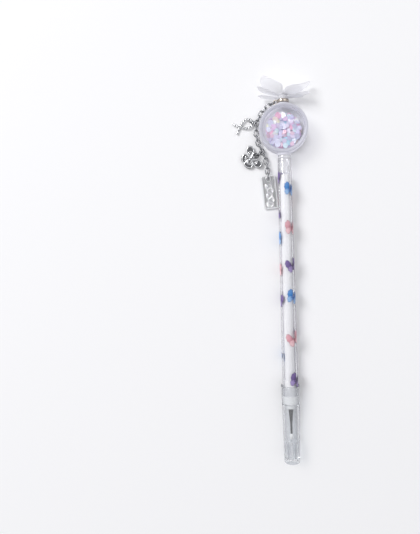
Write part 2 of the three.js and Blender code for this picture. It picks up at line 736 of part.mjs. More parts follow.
function movedOutline(points, x, y, turn) {
  const centre = new THREE.Vector2(0, 0);
  return points.map((point) =>
    point.clone().rotateAround(centre, turn).add(new THREE.Vector2(x, y)),
  );
}

// A plate of even thickness round the XY plane, with holes through it.
function plate(outline, holes, thickness) {
  const shape = new THREE.Shape(outline);
  shape.holes.push(...holes.map((hole) => new THREE.Path(hole)));
  const geometry = new THREE.ExtrudeGeometry(shape, { depth: thickness, bevelEnabled: false });
  return geometry.translate(0, 0, -thickness / 2);
}

// Ribbon charm: a flat strip laid in a loop, its two tails crossed. Its frame's origin is where
// the jump ring passes through the loop, X away from the chain.
function ribbonCharm() {
  const { width, loopLength, loopHalfWidth, tailReach, tailSpread } = RIBBON;
  const thickness = CHARM_THICKNESS;
  const rim = -(JUMP_WIRE + LINK_GAP + RING_SLOPE_ROOM + width / 2);
  const cross = rim + loopLength;
  const turn = THREE.MathUtils.degToRad(RIBBON.turn);
  const strand = (side) => {
    const lift = side * thickness * 0.35;
    const path = new THREE.CatmullRomCurve3([
      new THREE.Vector3(rim, 0, 0),
      new THREE.Vector3(rim + loopLength * 0.16, side * loopHalfWidth * 0.75, 0),
      new THREE.Vector3(rim + loopLength * 0.5, side * loopHalfWidth, 0),
      new THREE.Vector3(cross, 0, lift),
      new THREE.Vector3(cross + tailReach * 0.5, -side * tailSpread * 0.5, lift),
      new THREE.Vector3(cross + tailReach, -side * tailSpread, 0),
    ]);
    return stripAlong(path, width, thickness, 22);
  };
  const bridge = new THREE.BoxGeometry(width, width * 0.9, thickness).translate(rim, 0, 0);
  return join(strand(1), strand(-1), bridge).rotateZ(turn);
}

// A flat strip along a curve that lies near the XY plane: its width stays level.
function stripAlong(path, width, thickness, steps) {
  const level = (s) => {
    const tangent = path.getTangentAt(s);
    return new THREE.Vector3(-tangent.y, tangent.x, 0).normalize();
  };
  const pointAt = (s, t) => path.getPointAt(s).addScaledVector(level(s), (t - 0.5) * width);
  const upAt = () => new THREE.Vector3(0, 0, 1);
  return thinSheet(steps, 2, pointAt, upAt, thickness);
}

// Butterfly charm: an openwork casting, four drop-shaped wings with pierced cells on a slim body,
// with a wire eye at its head. Its frame's origin is in the eye, X away from the chain.
function butterflyCharm() {
  const { thickness, fore, hind, bodyLength, bodyWidth } = BUTTERFLY;
  const middle = CHARM_EYE_RADIUS + bodyLength / 2 - CHARM_EYE_WIRE;
  const wing = ({ length, width, angle }, side) => {
    const holes = [
      movedOutline(dropOutline(length * 0.44, width * 0.5, 12), length * 0.14, 0, 0),
      ...[-1, 1].map((half) => {
        const hole = dropOutline(length * 0.22, width * 0.17, 8);
        return movedOutline(hole, length * 0.62, half * width * 0.4, 0);
      }),
    ];
    return plate(dropOutline(length, width), holes, thickness)
      .rotateZ(side * THREE.MathUtils.degToRad(angle));
  };
  const body = new THREE.SphereGeometry(1, 12, 8);
  body.scale(bodyLength / 2, bodyWidth / 2, thickness * 0.8);
  const parts = [-1, 1].flatMap((side) => [wing(fore, side), wing(hind, side)]);
  const eye = wireRing(CHARM_EYE_RADIUS, CHARM_EYE_WIRE);
  const charm = join(body, ...parts);
  charm.rotateZ(Math.PI).translate(middle, 0, 0);
  return join(charm, eye);
}

// Tag: a round-cornered plate with a hole, a raised border and a raised vine with berries.
function tag() {
  const top = -(TAG_HOLE_RADIUS + TAG_EDGE);
  const halfWidth = TAG_WIDTH / 2;
  const outline = roundedBox(top, top + TAG_LENGTH, halfWidth, TAG_CORNER);
  const inset = TAG_BORDER;
  const innerTop = TAG_HOLE_RADIUS + TAG_EDGE;
  const inner = roundedBox(innerTop, top + TAG_LENGTH - inset, halfWidth - inset, TAG_CORNER / 2);
  const round = Array.from({ length: 16 }, (_, i) => {
    const turn = (2 * Math.PI * i) / 16;
    return new THREE.Vector2(TAG_HOLE_RADIUS * Math.cos(turn), TAG_HOLE_RADIUS * Math.sin(turn));
  });
  const base = plate(outline, [round], CHARM_THICKNESS - TAG_RELIEF);
  const border = plate(outline, [inner, round], TAG_RELIEF + 0.1);
  border.translate(0, 0, CHARM_THICKNESS / 2);
  const vineStart = innerTop + TAG_VINE_WIDTH;
  const vineLength = top + TAG_LENGTH - inset - TAG_VINE_WIDTH - vineStart;
  const sway = halfWidth * 0.34;
  const waves = 2.5;
  const swayAt = (s) => sway * Math.sin(2 * Math.PI * waves * s);
  const bends = 24;
  const vinePoints = Array.from({ length: bends + 1 }, (_, i) => {
    const s = i / bends;
    return new THREE.Vector3(vineStart + vineLength * s, swayAt(s), 0);
  });
  const vinePath = new THREE.CatmullRomCurve3(vinePoints);
  const vine = stripAlong(vinePath, TAG_VINE_WIDTH, TAG_RELIEF + 0.1, 30);
  vine.translate(0, 0, CHARM_THICKNESS / 2);
  const berries = Array.from({ length: 2 * waves }, (_, i) => {
    const s = (i + 0.5) / (2 * waves);
    const berry = new THREE.SphereGeometry(TAG_BERRY_RADIUS, 8, 6);
    const place = vineStart + vineLength * s;
    return berry.translate(place, -swayAt(s), CHARM_THICKNESS / 2 - TAG_RELIEF);
  });
  return join(base, border, vine, ...berries).translate(0, 0, -TAG_RELIEF / 2);
}

function roundedBox(low, high, halfWidth, corner) {
  const corners = [
    [high - corner, halfWidth - corner, 0],
    [low + corner, halfWidth - corner, 1],
    [low + corner, corner - halfWidth, 2],
    [high - corner, corner - halfWidth, 3],
  ];
  return corners.flatMap(([x, y, quarter]) =>
    Array.from({ length: 4 }, (_, i) => {
      const turn = (Math.PI / 2) * (quarter + i / 3);
      return new THREE.Vector2(x + corner * Math.cos(turn), y + corner * Math.sin(turn));
    }),
  );
}

// Materials
const clearPlastic = new THREE.MeshStandardMaterial({
  color: 0xeef2f4,
  roughness: 0.08,
  metalness: 0,
  transparent: true,
  opacity: 0.35,
});
const frostedPlastic = new THREE.MeshStandardMaterial({ color: 0xc9cad4, roughness: 0.55 });
const wingPlastic = new THREE.MeshStandardMaterial({ color: 0xe9e9ed, roughness: 0.6 });
const flakeFilm = new THREE.MeshStandardMaterial({
  color: 0xcdb4e0,
  roughness: 0.25,
  metalness: 0.4,
});
const antiqueSilver = new THREE.MeshStandardMaterial({
  color: 0xb4b5b6,
  roughness: 0.3,
  metalness: 1,
});
const brightSteel = new THREE.MeshStandardMaterial({
  color: 0xd2d3d4,
  roughness: 0.12,
  metalness: 1,
});
const tubePlastic = new THREE.MeshStandardMaterial({ color: 0xf4f4f4, roughness: 0.4 });
const inkGel = new THREE.MeshStandardMaterial({ color: 0x16161a, roughness: 0.3 });
const grease = new THREE.MeshStandardMaterial({ color: 0xe6dfc4, roughness: 0.2 });
const beadResin = new THREE.MeshStandardMaterial({ color: 0xf6f6f6, roughness: 0.3 });

function named(name, geometry, material) {
  const mesh = new THREE.Mesh(geometry, material);
  mesh.name = name;
  return mesh;
}

// The pen's round parts are revolved round the pen's own axis, above the table.
const penAxis = new THREE.Group();
penAxis.position.z = AXIS_HEIGHT;
penAxis.add(
  named("barrel", barrel(), clearPlastic),
  named("stem_plug", stemPlug(), clearPlastic),
  named("nose_plug", nosePlug(), clearPlastic),
  named("refill_tube", refillTube(), tubePlastic),
  named("gel_ink", gelInk(), inkGel),
  named("grease_follower", greaseFollower(), grease),
  named("metal_tip", metalTip(), brightSteel),
  named("writing_ball", writingBall(), brightSteel),
  named("tip_bead", tipBead(), beadResin),
  named("cap", capShell(), clearPlastic),
  named("topper_pin", topperPin(), brightSteel),
  named("swivel_ring", swivelRing(), brightSteel),
  named("topper_hub", topperHub(), wingPlastic),
  named("wings_lower", wingLayer(LOWER_WINGS, LOWER_LAYER_BASE), wingPlastic),
  named("wings_upper", wingLayer(UPPER_WINGS, UPPER_LAYER_BASE), wingPlastic),
);

const capsule = new THREE.Group();
capsule.add(
  named("capsule_body", capsuleBody(), frostedPlastic),
  named("capsule_ring", capsuleRing(), frostedPlastic),
  named("capsule_window", capsuleWindow(), clearPlastic),
  named("confetti", confetti(), flakeFilm),
);

const chain = new THREE.Group();
for (let index = 1; index <= LINK_COUNT; index++) {
  const name = "link_" + String(index).padStart(2, "0");
  chain.add(named(name, chainLink(index), antiqueSilver));
}

// A charm's own frame is where its jump ring passes through it.
function hungCharm(name, geometry, place) {
  const charm = named(name, geometry, antiqueSilver);
  place.charm.decompose(charm.position, charm.quaternion, charm.scale);
  return charm;
}

const ribbonPlace = linkSide(RIBBON_LINK);
const butterflyPlace = linkSide(BUTTERFLY_LINK);
const tagPlace = chainEnd();
chain.add(
  named("jump_ring_ribbon", jumpRing(ribbonPlace), antiqueSilver),
  named("jump_ring_butterfly", jumpRing(butterflyPlace), antiqueSilver),
  named("jump_ring_tag", jumpRing(tagPlace), antiqueSilver),
  hungCharm("ribbon_charm", ribbonCharm(), ribbonPlace),
  hungCharm("butterfly_charm", butterflyCharm(), butterflyPlace),
  hungCharm("tag", tag(), tagPlace),
);

const pen = new THREE.Group();
pen.add(penAxis, capsule, chain);
export default pen;
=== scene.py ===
"""Looks of a capped gel pen: shaker capsule, frosted butterfly topper and a chain of charms."""

import json
import math

import bmesh
import bpy
import numpy as np
from mathutils import Matrix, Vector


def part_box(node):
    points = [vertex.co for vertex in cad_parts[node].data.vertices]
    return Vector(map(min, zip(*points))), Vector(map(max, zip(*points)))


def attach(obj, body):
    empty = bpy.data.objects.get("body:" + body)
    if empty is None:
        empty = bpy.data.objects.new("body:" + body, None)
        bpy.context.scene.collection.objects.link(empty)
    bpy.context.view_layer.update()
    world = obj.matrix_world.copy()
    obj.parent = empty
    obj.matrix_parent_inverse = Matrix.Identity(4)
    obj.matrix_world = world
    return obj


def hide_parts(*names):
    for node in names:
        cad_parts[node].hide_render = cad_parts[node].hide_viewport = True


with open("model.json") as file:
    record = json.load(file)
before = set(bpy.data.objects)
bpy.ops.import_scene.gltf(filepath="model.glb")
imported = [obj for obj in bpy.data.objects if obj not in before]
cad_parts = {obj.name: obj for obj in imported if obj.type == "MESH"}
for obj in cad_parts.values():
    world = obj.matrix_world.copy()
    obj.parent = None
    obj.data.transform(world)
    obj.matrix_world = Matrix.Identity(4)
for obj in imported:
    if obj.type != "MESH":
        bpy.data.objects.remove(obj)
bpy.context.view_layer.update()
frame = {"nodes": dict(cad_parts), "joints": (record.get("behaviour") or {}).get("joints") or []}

# Capsule body.
# A cup injection-moulded in frosted polystyrene, with a flat back and two bosses: one takes the
# stem plug, the other the pin of the topper.

MM = 0.001
AXIS_HEIGHT = 4.9


def linear(colour):
    """An sRGB hex colour turned to linear red, green, blue and a full alpha."""
    srgb = np.array([int(colour[i : i + 2], 16) for i in (1, 3, 5)]) / 255
    light = np.where(srgb <= 0.04045, srgb / 12.92, ((srgb + 0.055) / 1.055) ** 2.4)
    return (*(float(v) for v in light), 1.0)


def feed(socket, value):
    """Links a socket to an output or to a node's first output, or else sets its value."""
    if isinstance(value, bpy.types.Node):
        value = value.outputs[0]
    if isinstance(value, bpy.types.NodeSocket):
        socket.id_data.links.new(value, socket)
    else:
        socket.default_value = value


def node(material, kind, sockets=(), stops=(), **settings):
    """Adds a shader node: its settings, its sockets in order or by name, its ramp's stops."""
    new = material.node_tree.nodes.new("ShaderNode" + kind)
    for key, value in settings.items():
        setattr(new, key, value)
    for key, value in sockets.items() if isinstance(sockets, dict) else enumerate(sockets):
        feed(new.inputs[key], value)
    for number, (place, colour) in enumerate(stops):
        if number > 1:
            new.color_ramp.elements.new(place)
        new.color_ramp.elements[number].position = place
        new.color_ramp.elements[number].color = linear(colour)
    return new


def finish(name, colour, roughness, sockets=None):
    """A material around one Principled shader, that shader, and the object's coordinates."""
    made = bpy.data.materials.new(name)
    made.use_nodes = True
    shader = made.node_tree.nodes["Principled BSDF"]
    shader.inputs["Base Color"].default_value = linear(colour)
    shader.inputs["Roughness"].default_value = roughness
    for key, value in (sockets or {}).items():
        feed(shader.inputs[key], value)
    place = node(made, "TexCoord").outputs["Object"]
    return made, shader, place


def surface(material, shader):
    """Makes a node's shader the one that the material shows."""
    feed(material.node_tree.nodes["Material Output"].inputs["Surface"], shader)


def grain(material, shader, place, spacing, depth):
    """Fine surface noise with the given spacing and depth in millimetres, as a bump."""
    scale = 1 / (spacing * MM)
    noise = node(material, "TexNoise", {"Vector": place, "Scale": scale, "Detail": 2.0})
    bump = node(material, "Bump", {"Height": noise, "Distance": depth * MM})
    feed(shader.inputs["Normal"], bump)


def box_corners(name):
    """The low and the high corner of a CAD node's box, in millimetres."""
    return [np.array(corner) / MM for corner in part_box(name)]


def grid_faces(rows, columns, wrap_rows, wrap_columns):
    """The corners of the quads between neighbouring rows and columns of a grid."""
    i = np.arange(rows if wrap_rows else rows - 1)[:, None]
    j = np.arange(columns if wrap_columns else columns - 1)[None, :]
    next_i = (i + 1) % rows
    next_j = (j + 1) % columns
    corners = np.broadcast_arrays(
        i * columns + j, next_i * columns + j, next_i * columns + next_j, i * columns + next_j
    )
    return np.stack(corners, -1).reshape(-1, 4)


def in_scene(name, data):
    """A new object with this data, at the origin."""
    made = bpy.data.objects.new(name, data)
    bpy.context.scene.collection.objects.link(made)
    return made


def piece(name, grids, look, body, replaced=None, values=None, closed=True, sharp=40):
    """One object from grids of points in millimetres, each (points, rows wrap, columns wrap).

    Meeting points are welded and a closed form gets its faces turned outwards. values holds one
    number for each point, under the name that the material reads.
    """
    points = np.concatenate([grid.reshape(-1, 3) for grid, _, _ in grids])
    faces = []
    start = 0
    for grid, wrap_rows, wrap_columns in grids:
        faces.append(grid_faces(*grid.shape[:2], wrap_rows, wrap_columns) + start)
        start += grid.shape[0] * grid.shape[1]
    mesh = bpy.data.meshes.new(name)
    mesh.from_pydata((points * MM).tolist(), [], np.concatenate(faces).tolist())
    for key, numbers in (values or {}).items():
        attribute = mesh.attributes.new(key, "FLOAT", "POINT")
        attribute.data.foreach_set("value", np.asarray(numbers, np.float32).ravel())
    work = bmesh.new()
    work.from_mesh(mesh)
    bmesh.ops.remove_doubles(work, verts=work.verts, dist=2e-6)
    bmesh.ops.dissolve_degenerate(work, edges=work.edges, dist=1e-7)
    if closed:
        bmesh.ops.recalc_face_normals(work, faces=work.faces)
    work.to_mesh(mesh)
    work.free()
    mesh.shade_smooth()
    mesh.set_sharp_from_angle(angle=math.radians(sharp))
    mesh.materials.append(look)
    made = in_scene(name, mesh)
    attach(made, body)
    if replaced:
        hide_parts(replaced)


def rounded(*outline, radius, steps=5, closed=True):
    """An outline with each corner cut back by the radius and bridged with a curve.

    The curve is the quadratic one that starts and ends along the two sides of the corner.
    """
    corners = np.array(outline, float)
    ends = []
    for shift in (1, -1):
        side = np.roll(corners, shift, 0) - corners
        length = np.linalg.norm(side, axis=1, keepdims=True)
        ends.append(corners + side / length * np.minimum(radius, length * 0.45))
    first, middle, last = (part[:, None] for part in (ends[0], corners, ends[1]))
    share = np.linspace(0, 1, steps + 1)[None, :, None]
    curve = first * (1 - share) ** 2 + middle * 2 * share * (1 - share) + last * share**2
    if not closed:
        curve[0] = corners[0]
        curve[-1] = corners[-1]
    return curve.reshape(-1, 2)


def sleeve(inner, outer, low, high, edge, steps=5):
    """The outline of a sleeve between two radii and two ends, with rounded edges."""
    ends = (inner, low), (outer, low), (outer, high), (inner, high)
    return rounded(*ends, radius=edge, steps=steps)


def full_turn(steps):
    """Even steps round a circle, from 0 up to a full turn."""
    return np.linspace(0, 2 * np.pi, steps, endpoint=False)


def around_pen(radius, along, turn):
    """Points at a radius and a turn round the pen's axis, and a place along it."""
    across, height = radius * np.cos(turn), AXIS_HEIGHT + radius * np.sin(turn)
    return np.stack(np.broadcast_arrays(across, along, height), -1)


def turned(outline, segments=96):
    """An outline of (radius, place along the pen) turned round the pen's axis."""
    outline = np.asarray(outline, float)
    return around_pen(outline[:, :1], outline[:, 1:], full_turn(segments))


def turned_upright(outline, segments=160):
    """An outline of (radius, height) turned round the capsule's upright axis."""
    grid = turned(outline, segments)
    return np.stack([grid[..., 0], grid[..., 2] - AXIS_HEIGHT, grid[..., 1]], -1)


CAPSULE_RADIUS = 11.7
CAVITY_RADIUS = 10.25
BACK_WALL = 1.3
CUP_EDGE = 0.9
_, cup_high = box_corners("capsule_body")
CUP_DEPTH = cup_high[2]
# Each boss: radius of its bore, and its own radius.
STEM_BOSS = (1.95, 3.2)
PIN_BOSS = (1.35, 2.8)
BOSS_EDGE = 0.25
BOSS_ROOT = CAPSULE_RADIUS - 0.8
# Share of the light that spreads inside a frosted wall, and share that a shadow lets past.
FROST_SPREAD = 0.45
FROST_LEAK = 0.88


def glow_through(material, shader, colour, share):
    """The shader with a share of the light that goes on and lights the wall's far side."""
    far_side = node(material, "BsdfTranslucent", {"Color": colour})
    return node(material, "MixShader", [share, shader, far_side])


def shadow_leak(material, shader, colour, share):
    """Shows the shader. Where it would cast a shadow, a share of the light goes on, coloured."""
    opening = node(material, "BsdfTransparent", {"Color": colour})
    shadow_rays = node(material, "LightPath").outputs["Is Shadow Ray"]
    passed = node(material, "Math", [shadow_rays, share], operation="MULTIPLY")
    surface(material, node(material, "MixShader", [passed, shader, opening]))


def frost(name, colour):
    """Frosted plastic: satin and milky. Part of the light that meets a wall goes on behind it."""
    made, shader, place = finish(name, colour, 0.42, {"IOR": 1.57})
    grain(made, shader, place, 0.25, 0.006)
    milk = glow_through(made, shader, linear(colour), FROST_SPREAD)
    shadow_leak(made, milk, linear("#FAFAFB"), FROST_LEAK)
    return made


# Frosted polystyrene, moulded in an etched tool: satin, milky, lets light into the capsule.
# Its colour is painted lighter than the ring's: painted light that lifts the shaded inside of the
# cup.
frosted = frost("frosted_polystyrene_painted_light", "#F1F1F5")

cup = rounded(
    (0, 0), (CAPSULE_RADIUS, 0), (CAPSULE_RADIUS, CUP_DEPTH), (CAVITY_RADIUS, CUP_DEPTH),
    (CAVITY_RADIUS, BACK_WALL), (0, BACK_WALL), radius=CUP_EDGE, steps=8, closed=False,
)
stem_boss = sleeve(*STEM_BOSS, -cup_high[1], -BOSS_ROOT, BOSS_EDGE)
pin_boss = sleeve(*PIN_BOSS, cup_high[1], BOSS_ROOT, BOSS_EDGE)
piece(
    "capsule_cup",
    [
        (turned_upright(cup), False, True), (turned(stem_boss), True, True),
        (turned(pin_boss), True, True),
    ],
    frosted, "pen_body", "capsule_body",
)

# Front ring.
# A second frosted moulding glued on the cup. Its stepped inner edge holds the window and shows
# as fine concentric lines.

ring_low, ring_high = box_corners("capsule_ring")
RING_OPEN = 10.25
RING_LEDGE = 9.8
LEDGE_DEPTH = 0.8
RING_STEP = 0.4
STEP_DEPTH = 0.35
ring = rounded(
    (RING_LEDGE, ring_low[2]), (CAPSULE_RADIUS, ring_low[2]), (CAPSULE_RADIUS, ring_high[2]),
    (RING_OPEN + RING_STEP, ring_high[2]), (RING_OPEN + RING_STEP, ring_high[2] - STEP_DEPTH),
    (RING_OPEN, ring_high[2] - STEP_DEPTH), (RING_OPEN, ring_high[2] - LEDGE_DEPTH),
    (RING_LEDGE, ring_high[2] - LEDGE_DEPTH), radius=0.35,
)

# The same plastic in a greyer tone than the cup.
frosted_ring = frost("greyer_frosted_polystyrene", "#D9D9E0")
piece(
    "capsule_front_ring", [(turned_upright(ring), True, True)], frosted_ring, "pen_body",
    "capsule_ring",
)

# Window.
# A clear disc of polystyrene pressed into the ring, with a slight crown that gives it a soft
# glint.

# A ray that has turned more often than this goes straight on through clear plastic.
DEEP_RAY = 4.5


def see_through(name, colour, edge, roughness, clearness, shade):
    """Clear plastic that bends what lies behind, with painted edge shade where seen at a slant.

    A ray caught in the walls goes straight after its fifth turn, so no wall fills up with black.
    Rays that carry light to a surface inside run straight through and take the shade's colour at
    each wall, since light that crosses a thin wall comes out about as even as it went in.
    """
    made, shader, place = finish(
        name, colour, roughness, {"Transmission Weight": clearness, "IOR": 1.5}
    )
    grain(made, shader, place, 4.0, 0.002)
    # Painted shade: the colour greys towards the edge colour where the surface is seen at a
    # slant.
    slant = node(made, "LayerWeight", {"Blend": 0.5}).outputs["Facing"]
    tint = node(made, "ValToRGB", {"Fac": slant}, [(0.2, colour), (0.8, edge)])
    feed(shader.inputs["Base Color"], tint)
    straight = node(made, "BsdfTransparent", {"Color": linear(shade)})
    rays = node(made, "LightPath").outputs
    lighting = node(
        made, "Math", [rays["Is Shadow Ray"], rays["Is Diffuse Ray"]], operation="MAXIMUM"
    )
    caught = node(made, "Math", [rays["Ray Depth"], DEEP_RAY], operation="GREATER_THAN")
    plain = node(made, "Math", [lighting, caught], operation="MAXIMUM")
    surface(made, node(made, "MixShader", [plain, shader, straight]))
    return made


# Clear polystyrene, moulded in a polished tool: water-clear with sharp glints; painted shade
# greys its edges.
clear = see_through("clear_polystyrene", "#F7F7F9", "#ABACB1", 0.02, 0.97, "#FAFAFB")

window_low, window_high = box_corners("capsule_window")
WINDOW_CROWN = 0.3
WINDOW_CHAMFER = 0.08
window_radius = window_high[0]
window_share = np.linspace(1, 0, 14)
crown = window_high[2] - WINDOW_CROWN * window_share**2
window = np.concatenate(
    [
        [
            (0, window_low[2]), (window_radius - WINDOW_CHAMFER, window_low[2]),
            (window_radius, window_low[2] + WINDOW_CHAMFER),
        ],
        np.stack([window_share * window_radius, crown], 1),
    ]
)
piece(
    "capsule_window_disc", [(turned_upright(window), False, True)], clear, "pen_body",
    "capsule_window", sharp=25,
)

# Confetti.
# Loose punched flakes of iridescent polyester film, in pink, lilac, pale blue and cream. They
# slide about in the capsule and lie over each other at all tilts.

FLAKE_SIDES = 10
FLAKE_SIZES = (0.95, 1.55)
STEEPEST_FLAKE = 0.55
FLAKE_SCATTER = (0.3, 0.3, 0.15)
LAYER_FLAKES = (66, 62, 60, 58, 56)
BED_RADIUS = 9.3
BED_MIDDLE = -0.6
BED_FLOOR = 2.15
LAYER_RISE = 1.1
FLAKE_THICKNESS = 0.05
# How much farther than its size a flake's point may reach, and the least gap under a flake.
FLAKE_POINT = 1.4
FLOOR_GAP = 0.2
FILM_LEAK = 0.6

draw = np.random.default_rng(7)


def unit(vectors):
    """Vectors brought to length 1."""
    return vectors / np.linalg.norm(vectors, axis=-1, keepdims=True)


def flake_bed():
    """Flakes in sunflower order, layer on layer, each a thin drop-shaped plate with its own tilt.

    Plate n of a layer of N lies at radius R * sqrt(n / N) and turn n * golden angle, with a small
    random shift, and high enough to clear the floor at its tilt. Its corners are its middle plus
    size * (cos, sin) along two tilted directions, and one of them is drawn out to a point.
    """
    golden = np.pi * (3 - np.sqrt(5))
    counts = np.array(LAYER_FLAKES)
    layer = np.repeat(np.arange(len(counts)), counts)
    number = np.concatenate([np.arange(n) for n in counts])
    total = len(layer)
    size = draw.uniform(*FLAKE_SIZES, total)
    reach = (BED_RADIUS - size) * np.sqrt((number + 0.5) / counts[layer])
    turn = golden * number + layer * 1.3
    height = BED_FLOOR + LAYER_RISE * layer
    middle = np.stack([reach * np.cos(turn), reach * np.sin(turn), height], 1)
    middle += draw.normal(0, 1, (total, 3)) * FLAKE_SCATTER
    far = np.linalg.norm(middle[:, :2], axis=1)
    limit = BED_RADIUS - 1.45 * size
    middle[:, :2] *= (np.minimum(far, limit) / np.maximum(far, 1e-6))[:, None]
    middle[:, 1] += BED_MIDDLE
    lean = draw.uniform(0, STEEPEST_FLAKE, total) * (0.4 + draw.random(total))
    lean_turn = draw.uniform(0, 2 * np.pi, total)
    lowest = BACK_WALL + FLOOR_GAP + FLAKE_POINT * size * np.sin(lean)
    middle[:, 2] = np.maximum(middle[:, 2], lowest)
    up = np.stack(
        [np.sin(lean) * np.cos(lean_turn), np.sin(lean) * np.sin(lean_turn), np.cos(lean)], 1
    )
    first = unit(np.cross(up, [0.0, 1.0, 0.0]))
    second = np.cross(up, first)
    spin = draw.uniform(0, 2 * np.pi, total)[:, None]
    first, second = (
        np.cos(spin) * first + np.sin(spin) * second,
        np.cos(spin) * second - np.sin(spin) * first,
    )
    corner = full_turn(FLAKE_SIDES)[None, :, None]
    point = 1 + draw.uniform(0, 0.4, total)[:, None, None] * np.clip(np.cos(corner), 0, 1) ** 3
    rim = (
        np.cos(corner) * point * first[:, None] + np.sin(corner) * second[:, None]
    ) * size[:, None, None]
    half = up[:, None] * FLAKE_THICKNESS / 2
    centre = middle[:, None]
    none = np.zeros_like(rim)
    rows = [centre + none + half, centre + rim + half, centre + rim - half, centre + none - half]
    return np.stack(rows, 1), draw.random(total)


flakes, flake_tint = flake_bed()

# Iridescent polyester film: a pearly colour for each flake, and a thin-film shimmer on top.
film, shader, place = finish(
    "iridescent_polyester_film", "#E0C6EA", 0.42,
    {"Thin Film Thickness": 420.0, "Thin Film IOR": 1.7},
)
tint = node(film, "Attribute", attribute_name="tint").outputs["Fac"]
film_colour = node(
    film, "ValToRGB", {"Fac": tint},
    [
        (0.0, "#F0AED5"), (0.1, "#EBC6E2"), (0.22, "#D6CDF6"), (0.36, "#D2D0F0"),
        (0.5, "#E7DAF9"), (0.6, "#B5E2F9"), (0.66, "#D6ECFB"), (0.74, "#EFECD9"),
        (0.82, "#E6D4D1"), (0.88, "#EDC9F4"), (0.94, "#F2F2FA"),
    ],
)
film_colour.color_ramp.interpolation = "CONSTANT"
feed(shader.inputs["Base Color"], film_colour)
grain(film, shader, place, 0.8, 0.02)
shadow_leak(film, shader, film_colour, FILM_LEAK)

piece(
    "confetti_flakes", [(flake, False, True) for flake in flakes], film, "confetti",
    "confetti", {"tint": np.repeat(flake_tint, 4 * FLAKE_SIDES)}, sharp=30,
)

# Stem plug.
# A cloudy plug with a collar: it closes the barrel and carries the capsule on its spigot.

# Natural polypropylene: nearly clear and slightly cloudy, with painted shade greying its edges.
cloudy = see_through("cloudy_polypropylene", "#FAFAFB", "#C4C5C9", 0.06, 0.8, "#F3F3F5")

stem_low, stem_high = box_corners("stem_plug")
barrel_low, barrel_high = box_corners("barrel")
HEAD_RADIUS = 3.3
NOSE_RADIUS = 4.0
BARREL_WALL = 0.85
COLLAR_TOP = -12.62
STEM_COLLAR = 3.2
SPIGOT_RADIUS = 1.9
PLUG_RADIUS = HEAD_RADIUS - BARREL_WALL - 0.1
stem = rounded(
    (0, stem_low[1]), (PLUG_RADIUS - 0.2, stem_low[1]), (PLUG_RADIUS, stem_low[1] + 0.6),
    (PLUG_RADIUS, barrel_high[1] + 0.02), (HEAD_RADIUS, barrel_high[1] + 0.02),
    (STEM_COLLAR, COLLAR_TOP), (SPIGOT_RADIUS, COLLAR_TOP), (SPIGOT_RADIUS, stem_high[1]),
    (0, stem_high[1]), radius=0.15, steps=4, closed=False,
)
piece(
    "stem_plug_cloudy", [(turned(stem), False, True)], cloudy, "pen_body",
    "stem_plug",
)

# Barrel.
# A long clear tube with a little draft from the mould, open at both ends.

barrel = rounded(
    (NOSE_RADIUS - BARREL_WALL, barrel_low[1]), (NOSE_RADIUS, barrel_low[1]),
    (HEAD_RADIUS, barrel_high[1]), (HEAD_RADIUS - BARREL_WALL, barrel_high[1]), radius=0.15,
    steps=4,
)
piece(
    "barrel_tube", [(turned(barrel, 128), True, True)], clear, "pen_body",
    "barrel",
)

# Printed butterflies.
# Small butterflies in blue, violet and rose, pad-printed on the outside of the barrel in opaque
# ink, a film of a few hundredths of a millimetre.

PRINT_HEIGHT = 0.03
# Each wing of a print: angle from the head, length, half width, sweep of its tip, and its tone.
WING_PRINTS = (
    (56, 4.6, 2.3, -1.3, 0.0), (-56, 4.6, 2.3, 1.3, 0.0), (122, 3.5, 2.1, 0.6, 0.5),
    (-122, 3.5, 2.1, -0.6, 0.5),
)


def print_patch(wing, turn, middle_y, middle_turn, size):
    """One wing of a print: a drop that grows from its root, wrapped on the barrel.

    The drop's edge at t is length * (1 - cos t) / 2 along and width * sin t * sin(t / 2) across,
    swept sideways with the square of the way along and lightly scalloped. One row of the grid
    lies a share of the way from the drop's middle to that edge. The tone rises by up to a half
    from the root to the far edge, and drops to 0 on a thin outline and on thin veins.
    """
    angle, length, width, sweep, tone = wing
    t = full_turn(48)
    share = np.array([0, 0.2, 0.4, 0.6, 0.78, 0.9, 0.93, 1.0])[:, None]
    far = (1 - np.cos(t)) / 2
    scallop = 1 + 0.04 * np.cos(9 * t) * far
    edge = np.stack(
        [
            length * far * scallop,
            width * np.sin(t) * np.sin(t / 2) * scallop + sweep * (far**2 - 0.36),
        ],
        1,
    )
    edge *= size
    heart = np.array([length * size * 0.6, 0])
    flat = heart + (edge[None] - heart) * share[..., None]
    veins = np.abs(np.sin(3 * t)) > 0.16
    shade = (tone + 0.5 * flat[..., 0] / (length * size)) * (share < 0.92) * (0.4 + 0.6 * veins)
    spin = math.radians(angle) + turn
    return wrapped(flat[..., 0], flat[..., 1], spin, middle_y, middle_turn), shade


def wrapped(long, wide, spin, middle_y, middle_turn):
    """Turns flat points by the spin and lays them on the barrel, across round it, along up it."""
    across = long * np.sin(spin) + wide * np.cos(spin)
    y = middle_y + (long * np.cos(spin) - wide * np.sin(spin))
    drop = (barrel_high[1] - y) / (barrel_high[1] - barrel_low[1])
    radius = HEAD_RADIUS + (NOSE_RADIUS - HEAD_RADIUS) * drop + PRINT_HEIGHT
    turn = middle_turn + across / radius
    return np.stack([radius * np.sin(turn), y, AXIS_HEIGHT + radius * np.cos(turn)], -1)


def print_body(turn, middle_y, middle_turn, size):
    """The slim body of a print, a thin pointed oval between the wings."""
    t = full_turn(20)
    share = np.linspace(0, 1, 3)[:, None]
    long = share * 1.5 * size * np.cos(t)
    wide = share * 0.28 * size * np.sin(t)
    return wrapped(long, wide, turn, middle_y, middle_turn)


def mottled(material, shader, place, spacing, detail, share, value, stops):
    """Base colour by tones: a value plus a share of fine noise, on a ramp. Returns the noise."""
    scale = 1 / (spacing * MM)
    noise = node(material, "TexNoise", {"Vector": place, "Scale": scale, "Detail": detail})
    mixed = node(material, "Math", [noise, share, value], operation="MULTIPLY_ADD")
    feed(shader.inputs["Base Color"], node(material, "ValToRGB", {"Fac": mixed}, stops))
    return noise


